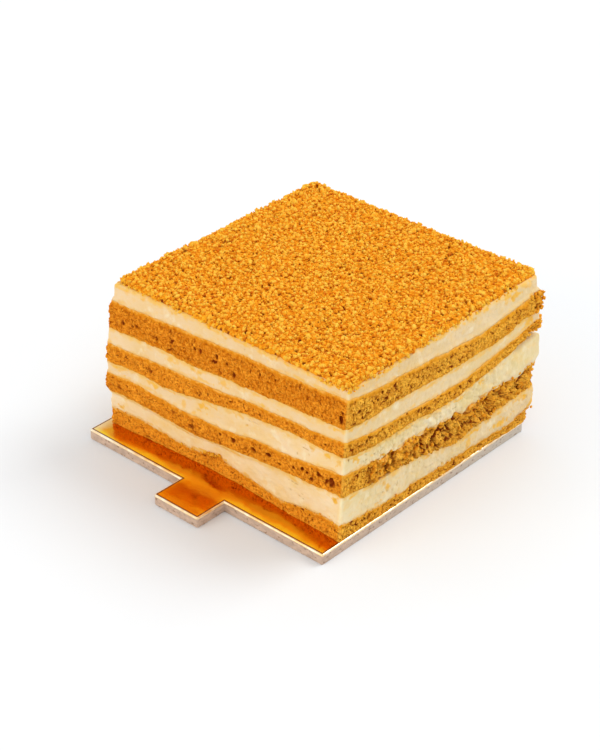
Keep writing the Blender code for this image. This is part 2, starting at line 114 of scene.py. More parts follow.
# Pits in the sponges' sides: turn, height above the card, half width, half height, and how deep they are and
# how much painted shade they get
PITS = {
    "sponge_1": ((0.202, 2.8, 0.5, 0.3, 0.7), (0.065, 2.5, 0.3, 0.4, 0.6), (0.218, 2.7, 0.3, 0.4, 0.6),
                 (0.210, 3.1, 0.5, 0.3, 0.5), (0.021, 4.1, 0.3, 0.3, 0.5), (0.117, 2, 0.3, 0.5, 0.5),
                 (0.102, 3.1, 1, 0.5, 0.5), (0.105, 1.3, 0.3, 0.4, 0.5), (0.085, 2.7, 0.3, 0.3, 0.4),
                 (0.340, 1.6, 0.5, 0.5, 0.7), (0.432, 1.6, 0.7, 0.4, 0.7), (0.277, 2.1, 0.3, 0.3, 0.6),
                 (0.368, 1.8, 0.3, 0.3, 0.6), (0.281, 2.1, 0.5, 0.4, 0.5), (0.388, 0.9, 0.3, 0.3, 0.5),
                 (0.315, 0.9, 0.4, 0.6, 0.5), (0.294, 1.6, 0.3, 0.3, 0.5), (0.285, 1.5, 0.3, 0.4, 0.5),
                 (0.304, 1.4, 0.3, 0.3, 0.5), (0.257, 3.2, 0.3, 0.3, 0.5), (0.354, 1.5, 0.3, 0.3, 0.5)),
    "sponge_2": ((0.208, 14.8, 0.6, 0.6, 1), (0.172, 13.5, 0.9, 0.6, 1), (0.184, 12.6, 0.4, 0.5, 0.7),
                 (0.239, 16, 0.7, 0.6, 0.7), (0.135, 12.7, 0.7, 0.9, 0.7), (0.213, 14.6, 0.4, 0.5, 0.6),
                 (0.093, 11, 0.3, 1, 0.6), (0.218, 13.5, 0.7, 0.6, 0.6), (0.234, 14.9, 0.7, 0.7, 0.6),
                 (0.225, 15.9, 0.5, 0.7, 0.6), (0.199, 13.7, 0.5, 0.5, 0.6), (0.156, 12.7, 0.8, 0.8, 0.6),
                 (0.239, 15.3, 1.2, 1.3, 0.6), (0.101, 11.7, 0.3, 0.4, 0.5), (0.122, 12.8, 0.4, 0.5, 0.5),
                 (0.119, 12, 0.3, 0.3, 0.5), (0.091, 10.8, 0.8, 0.5, 0.5), (0.023, 13.6, 0.5, 0.4, 0.5),
                 (0.226, 15.5, 1, 0.4, 0.5), (0.382, 14.0, 1.5, 1.1, 1), (0.435, 13.7, 1.0, 1.4, 1),
                 (0.398, 12.6, 1.6, 0.6, 1), (0.409, 11.7, 1.5, 0.6, 1), (0.4135, 13, 0.8, 0.6, 0.9),
                 (0.472, 13.8, 1.4, 0.9, 1), (0.4775, 12.5, 0.8, 1, 0.9), (0.435, 16, 0.8, 0.7, 0.9),
                 (0.340, 14.9, 0.8, 0.4, 0.7), (0.424, 13.2, 0.5, 0.7, 0.7), (0.447, 15, 0.9, 0.9, 0.8),
                 (0.365, 12.6, 0.5, 0.5, 0.7), (0.312, 13.4, 1.0, 1, 0.8), (0.360, 16.1, 0.7, 0.6, 0.8),
                 (0.347, 13.4, 0.9, 0.7, 0.7), (0.368, 10.7, 1.3, 0.6, 0.9), (0.353, 12.6, 0.7, 0.4, 0.7),
                 (0.299, 17.7, 1.0, 0.6, 0.9), (0.308, 17, 0.9, 0.5, 0.8), (0.46, 12.4, 0.6, 0.8, 0.7),
                 (0.325, 12.9, 0.6, 0.5, 0.6), (0.376, 12.2, 0.9, 0.4, 0.8)),
    "sponge_3": ((0.041, 21.1, 0.3, 0.3, 0.7), (0.120, 23.3, 0.3, 0.3, 0.7), (0.107, 22, 0.5, 0.5, 0.6),
                 (0.130, 23, 0.3, 0.3, 0.6), (0.012, 21.4, 0.5, 0.3, 0.6), (0.037, 22.6, 0.3, 0.3, 0.6),
                 (0.096, 21, 0.3, 0.5, 0.6), (0.099, 21.4, 0.3, 0.5, 0.5), (0.147, 22.5, 0.4, 0.4, 0.5),
                 (0.119, 21.5, 0.3, 0.4, 0.5), (0.021, 21.8, 0.5, 0.6, 0.5), (0.162, 23.6, 0.4, 0.4, 0.5),
                 (0.098, 20.6, 0.5, 0.7, 0.5), (0.045, 20.6, 0.5, 0.8, 0.5), (0.075, 21.9, 0.3, 0.3, 0.5),
                 (0.230, 24.9, 0.5, 0.4, 0.5), (0.135, 23.4, 0.3, 0.3, 0.5), (0.087, 22, 0.3, 0.4, 0.5),
                 (0.061, 20.6, 0.4, 0.3, 0.5), (0.394, 24.1, 0.5, 0.7, 0.8), (0.380, 24.2, 0.5, 0.4, 0.8),
                 (0.348, 24.3, 0.4, 0.4, 0.7), (0.452, 27.1, 0.6, 0.3, 0.7), (0.276, 24.7, 0.5, 0.5, 0.7),
                 (0.278, 25.8, 0.3, 0.4, 0.7), (0.407, 23.9, 0.4, 0.3, 0.7), (0.295, 25.5, 0.5, 0.4, 0.6),
                 (0.354, 23.4, 0.5, 0.5, 0.6), (0.341, 24.4, 0.5, 0.6, 0.6), (0.369, 24.8, 0.3, 0.3, 0.6),
                 (0.361, 24.8, 0.3, 0.3, 0.6), (0.281, 25.3, 0.7, 0.4, 0.6), (0.308, 24.5, 0.3, 0.5, 0.6),
                 (0.326, 25.6, 0.4, 0.3, 0.6), (0.267, 24.7, 0.4, 0.4, 0.6), (0.465, 27.8, 0.3, 0.3, 0.6)),
    "sponge_4": ((0.112, 31.9, 0.8, 0.7, 0.9), (0.244, 33.3, 0.6, 1.2, 0.9), (0.016, 31.2, 0.6, 0.8, 0.8),
                 (0.114, 33.7, 0.5, 0.9, 0.8), (0.051, 30.9, 0.4, 0.7, 0.8), (0.088, 33.8, 0.3, 0.4, 0.7),
                 (0.064, 29.2, 0.4, 0.4, 0.7), (0.069, 32.4, 0.3, 0.4, 0.7), (0.067, 31.9, 0.6, 0.7, 0.7),
                 (0.091, 33, 0.4, 0.7, 0.7), (0.125, 32.8, 0.5, 0.6, 0.7), (0.031, 32, 0.3, 0.4, 0.6),
                 (0.133, 30.7, 0.7, 1.1, 0.6), (0.027, 31.6, 0.5, 0.5, 0.6), (0.097, 32.9, 0.7, 0.8, 0.6),
                 (0.176, 34.9, 0.3, 0.4, 0.6), (0.079, 31.7, 0.3, 0.3, 0.5), (0.160, 34.5, 0.3, 0.7, 0.5),
                 (0.150, 34, 0.3, 0.6, 0.5), (0.325, 33.4, 0.5, 0.3, 0.8), (0.343, 33.5, 0.5, 0.4, 0.7),
                 (0.297, 33.5, 0.6, 0.4, 0.7), (0.372, 34, 0.6, 0.5, 0.7), (0.488, 34.4, 1, 0.6, 0.7),
                 (0.292, 35.8, 0.4, 0.4, 0.7), (0.454, 35.3, 0.4, 0.4, 0.7), (0.407, 31.9, 0.3, 0.3, 0.6),
                 (0.465, 35.5, 0.3, 0.4, 0.6), (0.342, 35.5, 0.3, 0.3, 0.6), (0.481, 35.5, 0.6, 0.6, 0.6),
                 (0.308, 35.7, 0.5, 0.4, 0.6), (0.265, 34, 0.7, 0.4, 0.6), (0.451, 33.3, 0.3, 0.6, 0.6),
                 (0.287, 34.5, 0.5, 0.4, 0.6), (0.309, 33.9, 0.3, 0.3, 0.6), (0.377, 33.7, 0.3, 0.4, 0.6)),
}

# Lumps that stand out of the torn stretch of the second sponge, given the same way
LUMPS = ((0.3015, 16.8, 1.2, 1.0, 0.8), (0.332, 17.1, 1.6, 0.8, 0.9), (0.37, 12.7, 1.8, 1.3, 0.8),
         (0.387, 11.1, 2.4, 1.6, 1), (0.4065, 15.2, 1.8, 1.2, 0.7), (0.4217, 11.2, 2.0, 1.4, 0.9),
         (0.458, 14.6, 1.8, 1.4, 0.8), (0.4855, 14.6, 2.2, 1.4, 0.8), (0.318, 14.9, 1.6, 1.3, 0.7),
         (0.355, 14.6, 1.4, 1.2, 0.6), (0.45, 12.0, 1.6, 1.2, 0.7), (0.393, 14.0, 1.3, 0.7, 0.8),
         (0.296, 13.0, 1.8, 1.3, 0.6), (0.335, 12.2, 1.5, 1.0, 0.6), (0.423, 15.2, 1.3, 1.0, 0.6))

# Dents in the creams' sides, given the same way, with painted shade in them
DENTS = {
    "cream_1": ((0.244, 10.9, 0.4, 0.6, 0.7), (0.209, 7.3, 0.4, 0.3, 0.6), (0.012, 5.8, 0.4, 0.4, 0.6),
                (0.197, 6.8, 0.4, 0.2, 0.6), (0.067, 6.2, 0.3, 0.3, 0.4), (0.490, 8.2, 0.5, 0.5, 0.9),
                (0.378, 4.5, 0.4, 0.4, 0.8), (0.486, 9.1, 0.3, 0.5, 0.8), (0.308, 6, 0.4, 0.4, 0.7),
                (0.302, 6.7, 0.4, 0.5, 0.7), (0.339, 7.3, 0.3, 0.3, 0.6), (0.314, 5.8, 0.3, 0.3, 0.6),
                (0.348, 8.9, 0.4, 0.5, 0.6)),
    "cream_2": ((0.149, 18.7, 0.3, 0.3, 1), (0.202, 18.1, 0.4, 0.3, 0.8), (0.216, 21.6, 0.6, 0.4, 0.8),
                (0.210, 21.6, 0.3, 0.3, 0.6), (0.214, 19.5, 0.3, 0.4, 0.6), (0.150, 20.4, 0.3, 0.3, 0.5),
                (0.246, 21.9, 0.3, 0.6, 0.5), (0.096, 16.2, 0.6, 0.5, 0.5), (0.298, 18.1, 0.4, 0.4, 1),
                (0.255, 22.2, 0.4, 0.6, 0.9), (0.439, 18.9, 0.4, 0.5, 0.6), (0.276, 21.1, 0.4, 0.2, 0.6),
                (0.401, 20.1, 0.3, 0.3, 0.6), (0.277, 19.5, 0.4, 0.3, 0.6), (0.287, 19.7, 0.4, 0.3, 0.6)),
    "cream_3": ((0.090, 26.9, 0.4, 0.6, 0.5), (0.098, 26.6, 0.4, 0.5, 0.5), (0.117, 26.8, 0.4, 0.6, 0.4),
                (0.275, 29.9, 0.4, 0.4, 0.4)),
    "cream_4": ((0.186, 38.2, 0.3, 0.2, 0.6), (0.142, 38.8, 0.3, 0.4, 0.6), (0.065, 39.5, 0.4, 0.4, 0.5),
                (0.412, 40.3, 0.4, 0.3, 0.7), (0.286, 40, 0.5, 0.5, 0.6), (0.463, 39.6, 0.4, 0.4, 0.6),
                (0.351, 40.7, 0.5, 0.3, 0.6), (0.412, 39.4, 0.3, 0.2, 0.5), (0.313, 39.3, 0.4, 0.5, 0.5),
                (0.489, 41.1, 0.4, 0.3, 0.5), (0.409, 40.4, 0.3, 0.6, 0.5)),
}

# Thin cracks in the creams' sides: turn, height above the card, half width, half height and depth, with painted
# shade in them
CRACKS = {
    "cream_1": ((0.2, 9.3, 2.6, 0.13, 0.3), (0.208, 6.2, 1.8, 0.12, 0.25), (0.32, 7.0, 0.14, 1.3, 0.3)),
    "cream_2": ((0.288, 17.6, 2.8, 0.16, 0.5), (0.302, 17.0, 1.7, 0.14, 0.4), (0.153, 20.2, 2.2, 0.14, 0.3),
                (0.21, 20.6, 2.0, 0.12, 0.3), (0.385, 18.8, 1.8, 0.14, 0.35), (0.36, 17.6, 1.2, 0.12, 0.3)),
}

# Honey-coloured smears on the creams' sides, given the same way, with how strong they are last
SMEARS = {
    "cream_1": ((0.243, 10.9, 0.9, 0.9, 1), (0.102, 4.7, 1.9, 0.4, 0.9), (0.083, 8, 1.8, 0.4, 0.6),
                (0.012, 6, 0.7, 0.6, 0.6), (0.125, 4.9, 0.8, 0.4, 0.6), (0.201, 10.3, 0.9, 0.4, 0.6),
                (0.097, 4.2, 3, 0.4, 0.6), (0.044, 4.8, 1.1, 0.4, 0.5), (0.017, 9.2, 0.8, 0.4, 0.5),
                (0.137, 8.8, 2.5, 0.4, 0.5), (0.148, 4.4, 1.1, 0.4, 0.5), (0.080, 7.9, 3, 0.5, 0.4),
                (0.055, 4.8, 0.9, 0.4, 0.4), (0.487, 8.7, 1.3, 0.7, 1), (0.418, 7.7, 3, 0.4, 1),
                (0.264, 11.1, 2.2, 0.4, 0.8), (0.456, 5.3, 2.7, 1.1, 0.8), (0.452, 8.6, 1.6, 0.4, 0.7),
                (0.307, 7.8, 0.9, 1, 0.7), (0.357, 9.1, 1.7, 0.4, 0.7), (0.481, 9.1, 2.7, 0.5, 0.6),
                (0.414, 5.8, 1.1, 2, 0.6), (0.409, 7.4, 3, 0.4, 0.5), (0.296, 4.5, 1.1, 0.4, 0.5),
                (0.495, 6.1, 0.5, 0.5, 0.5), (0.303, 9.2, 0.8, 1.2, 0.5), (0.379, 4.1, 0.8, 0.6, 0.5),
                (0.395, 3.9, 0.8, 0.4, 0.4), (0.4975, 4.9, 1.6, 1.2, 1), (0.4985, 6.9, 0.8, 1.6, 0.8)),
    "cream_2": ((0.051, 17.2, 1.3, 0.9, 0.9), (0.232, 21.9, 1.1, 0.7, 0.8), (0.099, 17.3, 1.1, 0.9, 0.8),
                (0.111, 19, 2, 0.4, 0.7), (0.016, 17.8, 1.9, 0.7, 0.6), (0.046, 17.6, 2.9, 0.5, 0.6),
                (0.067, 17.8, 1.9, 0.4, 0.6), (0.216, 21.7, 0.7, 0.4, 0.5), (0.141, 20.5, 1.7, 0.4, 0.5),
                (0.245, 21.8, 0.5, 0.9, 0.5), (0.092, 14.8, 0.7, 0.4, 0.5), (0.081, 16.1, 0.7, 1.4, 0.5),
                (0.149, 18.5, 0.5, 0.4, 0.4), (0.191, 21.8, 0.5, 0.4, 0.4), (0.044, 15.7, 2.9, 0.4, 0.4),
                (0.299, 18, 0.8, 0.5, 1), (0.331, 18, 1.4, 0.4, 0.9), (0.265, 21.5, 1, 0.9, 0.9),
                (0.442, 17.7, 0.9, 0.4, 0.9), (0.427, 17.2, 1.1, 0.4, 0.8), (0.423, 21.8, 1.7, 0.5, 0.8),
                (0.355, 20.9, 1.9, 0.5, 0.7), (0.262, 22.2, 2.5, 0.4, 0.7), (0.392, 20.9, 3, 0.5, 0.6),
                (0.331, 21.6, 2.4, 0.4, 0.6), (0.271, 21.9, 3, 0.4, 0.6), (0.346, 17.6, 1.4, 0.4, 0.5),
                (0.319, 17.4, 0.6, 0.4, 0.4), (0.285, 19.7, 0.8, 0.4, 0.4)),
    "cream_3": ((0.241, 30.2, 1.1, 0.4, 0.7), (0.097, 27, 0.8, 0.7, 0.7), (0.090, 27, 0.9, 0.5, 0.6),
                (0.066, 27, 1.1, 0.9, 0.6), (0.122, 27.1, 1.3, 1.1, 0.6), (0.164, 26.5, 1.4, 0.4, 0.6),
                (0.103, 25.3, 2.7, 0.4, 0.5), (0.167, 28.7, 0.7, 0.4, 0.5), (0.062, 27.7, 3, 0.4, 0.5),
                (0.157, 28.6, 2.1, 0.4, 0.4), (0.074, 26.9, 0.9, 0.7, 0.4), (0.233, 29.8, 0.6, 0.6, 0.4),
                (0.484, 30.9, 1.6, 1.3, 0.8), (0.275, 29.9, 0.8, 0.4, 0.8), (0.257, 30.5, 1, 0.4, 0.7),
                (0.388, 29.5, 3, 0.4, 0.6), (0.354, 29.3, 3, 0.6, 0.6), (0.410, 29.4, 2.2, 0.5, 0.5),
                (0.480, 29.7, 3, 0.4, 0.5), (0.479, 31.7, 3, 0.4, 0.5), (0.334, 26.7, 1.2, 0.4, 0.4)),
    "cream_4": ((0.227, 40.3, 2.2, 0.5, 0.8), (0.188, 40.4, 1, 0.4, 0.7), (0.122, 39.6, 0.8, 0.9, 0.6),
                (0.218, 40.5, 3, 0.4, 0.6), (0.138, 40.3, 2.9, 0.4, 0.6), (0.068, 40, 0.7, 0.4, 0.6),
                (0.033, 39.7, 0.7, 0.6, 0.6), (0.015, 40, 1, 0.4, 0.5), (0.114, 40.1, 1, 0.4, 0.5),
                (0.158, 40.3, 1.5, 0.4, 0.5), (0.199, 38.3, 1.8, 0.4, 0.5), (0.111, 40.1, 1.9, 0.4, 0.5),
                (0.171, 40.1, 0.7, 0.5, 0.5), (0.012, 40, 2.1, 0.4, 0.5), (0.221, 38.7, 3, 0.4, 0.4),
                (0.300, 40.7, 3, 0.4, 1), (0.407, 40.8, 0.8, 0.4, 1), (0.467, 40.1, 1.9, 1.3, 1),
                (0.427, 40.9, 1.3, 0.4, 0.9), (0.456, 40.7, 3, 0.6, 0.9), (0.396, 40.8, 1.3, 0.4, 0.6),
                (0.364, 40.9, 3, 0.4, 0.6), (0.285, 40.2, 0.8, 0.7, 0.6), (0.411, 40.3, 0.8, 0.5, 0.6),
                (0.454, 39.8, 1.1, 1.5, 0.5), (0.486, 40.6, 1.1, 0.9, 0.5), (0.313, 39.8, 0.5, 1.1, 0.4),
                (0.487, 38, 1, 0.4, 0.4), (0.294, 40.2, 0.6, 0.7, 0.4)),
}
SIDE_LENGTH = 75.0


def mix(a, b, share):
    return a + (b - a) * share


def smooth_step(low, high, value):
    share = np.clip((value - low) / (high - low), 0, 1)
    return share * share * (3 - 2 * share)


# Noise

def scatter(cells, pattern):
    """A number from 0 to 1 for each whole-number cell, always the same for the same cell."""
    x, y, z = (cells[..., axis].astype(np.int64).astype(np.uint32) for axis in range(3))
    mixed = x * np.uint32(73856093) ^ y * np.uint32(19349663) ^ z * np.uint32(83492791)
    mixed = mixed + np.uint32(pattern * 40503 + 977)
    for shift, factor in ((15, 2246822519), (13, 3266489917), (16, 668265263)):
        mixed = (mixed ^ (mixed >> np.uint32(shift))) * np.uint32(factor)
    return (mixed ^ (mixed >> np.uint32(15))) / 2.0**32


def soft_noise(places, size, pattern):
    """Smooth noise from -1 to 1, in lumps of the given size."""
    scaled = places / size
    base = np.floor(scaled)
    ease = scaled - base
    ease = ease * ease * (3 - 2 * ease)
    total = np.zeros(len(places))
    for corner in itertools.product((0, 1), repeat=3):
        weight = np.prod(np.where(corner, ease, 1 - ease), axis=1)
        total += weight * scatter(base + corner, pattern)
    return 2 * total - 1


def warped(places, reach, size, pattern):
    """The same places, each pushed about, so that shapes laid out on them come out irregular."""
    return places + reach * np.stack([soft_noise(places, size, pattern + axis) for axis in range(3)], axis=1)


def grains(places, size, pattern):
    """Packed grains: 1 at each grain's middle, falling to 0 between grains, and each grain's own number."""
    scaled = places / size
    base = np.floor(scaled)
    nearest = np.full(len(places), 9.0)
    own = np.zeros(len(places))
    for step in itertools.product((-1, 0, 1), repeat=3):
        cell = base + step
        middle = cell + np.stack([scatter(cell, pattern + axis) for axis in range(3)], axis=1)
        away = np.linalg.norm(scaled - middle, axis=1)
        closer = away < nearest
        nearest = np.where(closer, away, nearest)
        own = np.where(closer, scatter(cell, pattern + 3), own)
    return np.clip(1 - nearest * nearest * 1.6, 0, 1), own


def pores(places, size, chance, radii, pattern):
    """Round hollows, one at most in each cell of the given size: 1 at a hollow's middle, 0 outside it."""
    base = np.floor(places / size)
    depth = np.zeros(len(places))
    for step in itertools.product((-1, 0, 1), repeat=3):
        cell = base + step
        middle = (cell + np.stack([scatter(cell, pattern + axis) for axis in range(3)], axis=1)) * size
        radius = mix(radii[0], radii[1], scatter(cell, pattern + 3) ** 2)
        away = np.linalg.norm(places - middle, axis=1) / radius
        there = scatter(cell, pattern + 4) < chance
        depth = np.maximum(depth, np.where(there, np.clip(1 - away * away, 0, 1), 0))
    return depth


# Outline and seams

def corner_mix(values, turn):
    """A value at each turn, straight from each corner's value to the next one's."""
    values = np.asarray(values, float)
    side = np.floor(turn * 4).astype(int) % 4
    share = turn * 4 - np.floor(turn * 4)
    if values.ndim == 2:
        share = share[:, None]
    return mix(values[side], values[(side + 1) % 4], share)


def hump(turn, middle, half_width):
    """A smooth hump, 1 at its middle turn and 0 past its half width."""
    away = np.clip(np.abs(turn - middle) / half_width, 0, 1)
    return 0.5 + 0.5 * np.cos(math.pi * away)


def seam_read(heights, turn):
    """A seam's height at each turn, on a smooth curve through its readings."""
    count = len(SEAM_TURNS)
    turns = np.array([SEAM_TURNS[index % count] + index // count for index in range(-1, count + 2)])
    values = np.array([heights[index % count] for index in range(-1, count + 2)])
    last = np.searchsorted(turns, turn, side="right") - 1
    width = turns[last + 1] - turns[last]
    start_slope = (values[last + 1] - values[last - 1]) / (turns[last + 1] - turns[last - 1]) * width
    end_slope = (values[last + 2] - values[last]) / (turns[last + 2] - turns[last]) * width
    share = (turn - turns[last]) / width
    square = share**2
    cube = share**3
    return ((2 * cube - 3 * square + 1) * values[last] + (cube - 2 * square + share) * start_slope
            + (3 * square - 2 * cube) * values[last + 1] + (cube - square) * end_slope)


def side_place(turn, height):
    """The upright side's place at each turn and height, before any layer's own relief."""
    share = height / SIDE_HEIGHT
    place = mix(corner_mix(FOOT_CORNERS, turn), corner_mix(TOP_CORNERS, turn), share[:, None])
    hollow = mix(FRONT_HOLLOW_FOOT, FRONT_HOLLOW_TOP, share) * np.sin(4 * math.pi * turn)
    place[:, 1] += np.where(turn < 0.25, hollow, 0)
    return place


def core_place(turn):
    """Where a layer's upper and lower faces turn flat, well inside the cake."""
    toward = np.array(((1, 1), (-1, 1), (-1, -1), (1, -1)))
    return corner_mix((FOOT_CORNERS + TOP_CORNERS) / 2 + toward * CORE_INSET, turn)


def seam_corners(seam):
    """A seam's four corner heights. The lowest seam is the card, the highest the topping's underside."""
    if seam == 0:
        return (0.0,) * 4
    if seam > len(SEAM_HEIGHTS):
        return TOP_SEAM_CORNERS
    return tuple(SEAM_HEIGHTS[seam - 1][SEAM_TURNS.index(turn)] for turn in (0, 0.25, 0.5, 0.75))


def seam_plane(seam, place):
    """The tilted plane that a seam keeps to inside the cake."""
    left, near, right, back = seam_corners(seam)
    middles = (FOOT_CORNERS + TOP_CORNERS) / 2
    middle = middles.mean(axis=0)
    slope_x = (near - left + right - back) / (middles[1] - middles[0] + middles[2] - middles[3])[0]
    slope_y = (back - left + right - near) / (middles[3] - middles[0] + middles[2] - middles[1])[1]
    return ((left + near + right + back) / 4 + slope_x * (place[:, 0] - middle[0])
            + slope_y * (place[:, 1] - middle[1]))


def seam_rise(seam, turn):
    """How far a seam leaves its plane at the upright side."""
    if seam == 0 or seam > len(SEAM_HEIGHTS):
        return np.zeros(len(turn))
    height = seam_read(SEAM_HEIGHTS[seam - 1], turn)
    shifted = turn + SEAM_WAVE_SHIFT * seam
    wave = sum(np.sin(math.tau * rounds * shifted) for rounds in SEAM_WAVES_ROUND) / len(SEAM_WAVES_ROUND)
    behind = np.maximum(0, -np.sin(math.tau * turn))
    wave *= SEAM_WAVE * behind
    return height + wave + seam_crumble(seam, turn) - seam_plane(seam, side_place(turn, height))


# The torn stretch of the second sponge on the right side, and how ragged it leaves the seams below and above
TORN_START = 0.285
TORN_END = 0.49
TORN_FADE = 0.012
TORN_SEAMS = {2: 0.3, 3: 0.6}

# The notch at the right corner, in the upper part of the cream above the torn stretch
RIGHT_CORNER = 0.5
NOTCH_HALF_WIDTH = 0.05
NOTCH_DEPTH = 3.2
NOTCH_START = 0.72
NOTCH_END = 0.86

# A crag that stands up from the first sponge's upper edge on the front side
CRAG_START = 0.1
CRAG_END = 0.12
CRAG_FADE = 0.005
CRAG_HEIGHT = 1.0

# How far apart two seams' patterns lie
SEAM_APART = 31.7


def torn_share(turn):
    """1 in the torn stretch, 0 outside it."""
    rising = smooth_step(TORN_START - TORN_FADE, TORN_START + TORN_FADE, turn)
    return rising * (1 - smooth_step(TORN_END - TORN_FADE, TORN_END + TORN_FADE, turn))


def seam_crumble(seam, turn):
    """Small ups and downs of a seam: fine above a sponge, crumbly below one, most of all where it is torn."""
    count = len(turn)
    along = np.column_stack([turn * OUTLINE_LENGTH, np.full(count, SEAM_APART * seam), np.zeros(count)])
    above_sponge = seam % 2 == 1
    coarse = soft_noise(along, 1.7, seam) * (0.12 if above_sponge else 0.16)
    fine = soft_noise(along, 0.6, seam + 10) * (0.05 if above_sponge else 0.12)
    if seam == 1:
        crag = smooth_step(CRAG_START, CRAG_START + CRAG_FADE, turn)
        crag *= 1 - smooth_step(CRAG_END, CRAG_END + CRAG_FADE, turn)
        coarse = 2 * coarse + CRAG_HEIGHT * crag
        fine *= 2
    ragged = soft_noise(along, 2.8, seam + 20) + 0.5 * soft_noise(along, 1.1, seam + 30)
    return coarse + fine + TORN_SEAMS.get(seam, 0) * torn_share(turn) * ragged


# Layer sides

# How much of the right side's clumps the front side shows, and how much paler each sponge is on the front
FRONT_CLUMPS = 0.6
# The front sides' paleness is painted: painted light on the lowest sponge and painted shade on the highest, to
# even out the light
FRONT_PAINTED_PALENESS = {"sponge_1": 0.2, "sponge_2": -0.02, "sponge_3": 0.0, "sponge_4": -0.2}

# How rough each cream is on the right side, and how much painted shade it gets at the left, near, right and
# back corners, darkening the layers that the lamps light more
CREAM_ROUGH = {"cream_1": 0.6, "cream_2": 1.0, "cream_3": 0.2, "cream_4": 0.2}
CREAM_PAINTED_SHADE = {"cream_1": (0.0, 0.0, 0.6, 0.2), "cream_2": (0.5, 0.1, 0.0, 0.2), "cream_3": (0.4, 0.5, 0.4, 0.4),
        "cream_4": (0.4, 0.7, 0.4, 0.4)}
SMEAR_RAGGED = 2.4


def front_share(turn):
    """1 on the front side, 0 on the right side and the two behind."""
    return 1 - smooth_step(0.247, 0.253, turn)


def behind_share(turn):
    """1 on the two sides behind, 0 on the front and right sides."""
    return smooth_step(0.5, 0.51, turn) * (1 - smooth_step(0.99, 1.0, turn))


def side_spots(spots, turn, height, places, ragged=1.0):
    """How much each place belongs to the listed spots: 1 at a spot's middle, 0 outside its uneven rim."""
    uneven = ragged * (0.3 * soft_noise(places, 0.8, 400) + 0.15 * soft_noise(places, 0.4, 401))
    total = np.zeros(len(turn))
    for spot_turn, spot_height, half_width, half_height, strength in spots:
        across = (turn - spot_turn) * 4 * SIDE_LENGTH / half_width
        away = np.hypot(across, (height - spot_height) / half_height) * (1 + uneven)
        total = np.maximum(total, strength * np.clip(1.3 * (1 - away * away), 0, 1))
    return total


def sponge_relief(name, layer, side):
    """How far a sponge's side stands out, how much painted shade each vertex gets in its pores, pits and gaps,
    and how pale its crumb is, with painted light and shade on the front side.
    """
    turn, height, places = side["turn"], side["height"], side["places"]
    wobble = 0.5 * soft_noise(places, 2.0, 150) + 0.25 * soft_noise(places, 0.7, 151)
    open_crumb = smooth_step(0.4, 1.1, side["below"] + wobble)
    open_crumb *= smooth_step(0.0, 0.3, side["above"] + 0.4 * wobble)
    pushed = warped(places, 0.28, 0.7, 160)
    grain, own = grains(pushed, 0.6, layer * 7 + 40)
    clump, clump_own = grains(warped(places, 0.5, 1.0, 165), 1.1, layer * 7 + 50)
    small = pores(pushed, 0.75, 0.55, (0.12, 0.32), layer * 7 + 60)
    behind = behind_share(turn)
    medium = behind * pores(warped(places, 0.4, 0.9, 170), 1.9, 0.4, (0.25, 0.55), layer * 7 + 80)
    large = behind * pores(warped(places, 0.5, 1.1, 180), 5.0, 0.3, (0.45, 0.8), layer * 7 + 90)
    pits = side_spots(PITS[name], turn, height, places)
    clumpy = open_crumb * (FRONT_CLUMPS + (1 - FRONT_CLUMPS) * smooth_step(0.24, 0.26, turn))
    out = open_crumb * (0.2 * (grain - 0.6) + 0.14 * (own - 0.5) - 0.28 * small - 0.5 * medium - 0.9 * large)
    out += clumpy * (0.3 * (clump - 0.6) + 0.3 * (clump_own - 0.5))
    out += 0.12 * soft_noise(places, 2.1, layer + 2) - 0.8 * pits
    # Painted shade in the gaps between clumps and in the pores and pits, kept in pit
    gap = clumpy * smooth_step(0.4, 0.05, clump) * smooth_step(0.7, 0.2, clump_own)
    pit = np.clip(open_crumb * (0.5 * small + 0.8 * medium + large) + 0.75 * gap + 1.2 * pits, 0, 1)
    tone = open_crumb * (0.45 * own + 0.4 * clumpy * clump_own + 0.3 * grain * clump)
    # Painted light and shade on the front side
    tone += FRONT_PAINTED_PALENESS[name] * front_share(turn)
    if name == "sponge_2":
        torn = torn_share(turn)
        lumps = torn * side_spots(LUMPS, turn, height, places)
        lump, lump_own = grains(warped(places, 1.0, 1.8, 190), 2.2, 300)
        little, little_own = grains(warped(places, 0.4, 0.6, 195), 0.9, 310)
        broken = 0.9 * (lump + lump_own - 1.2) + 0.4 * (little + little_own - 1)
        out += torn * (broken - 1.8 * pits) + lumps
        # Painted shade in the torn stretch's cavities
        cavity = (1 - lumps) * np.maximum(smooth_step(0.3, 0.0, lump), 1.5 * pits)
        cavity = np.maximum(cavity, 0.6 * smooth_step(0.3, 0.0, little))
        pit = np.clip(np.maximum(pit, torn * cavity), 0, 1)
        near_half = smooth_step(0.39, 0.3, turn)
        pit *= 1 - 0.45 * torn * near_half
        tone = np.clip(tone + 0.7 * lumps, 0, 1.2)
    if name in ("sponge_3", "sponge_4"):
        ragged = hump(turn, RIGHT_CORNER, 0.05)
        lump, lump_own = grains(warped(places, 0.6, 1.0, 198), 1.3, 320)
        out += ragged * (0.7 * soft_noise(places, 1.6, 93) + 0.7 * (lump - 0.5) + 0.7 * (lump_own - 0.5))
    return out, pit, tone


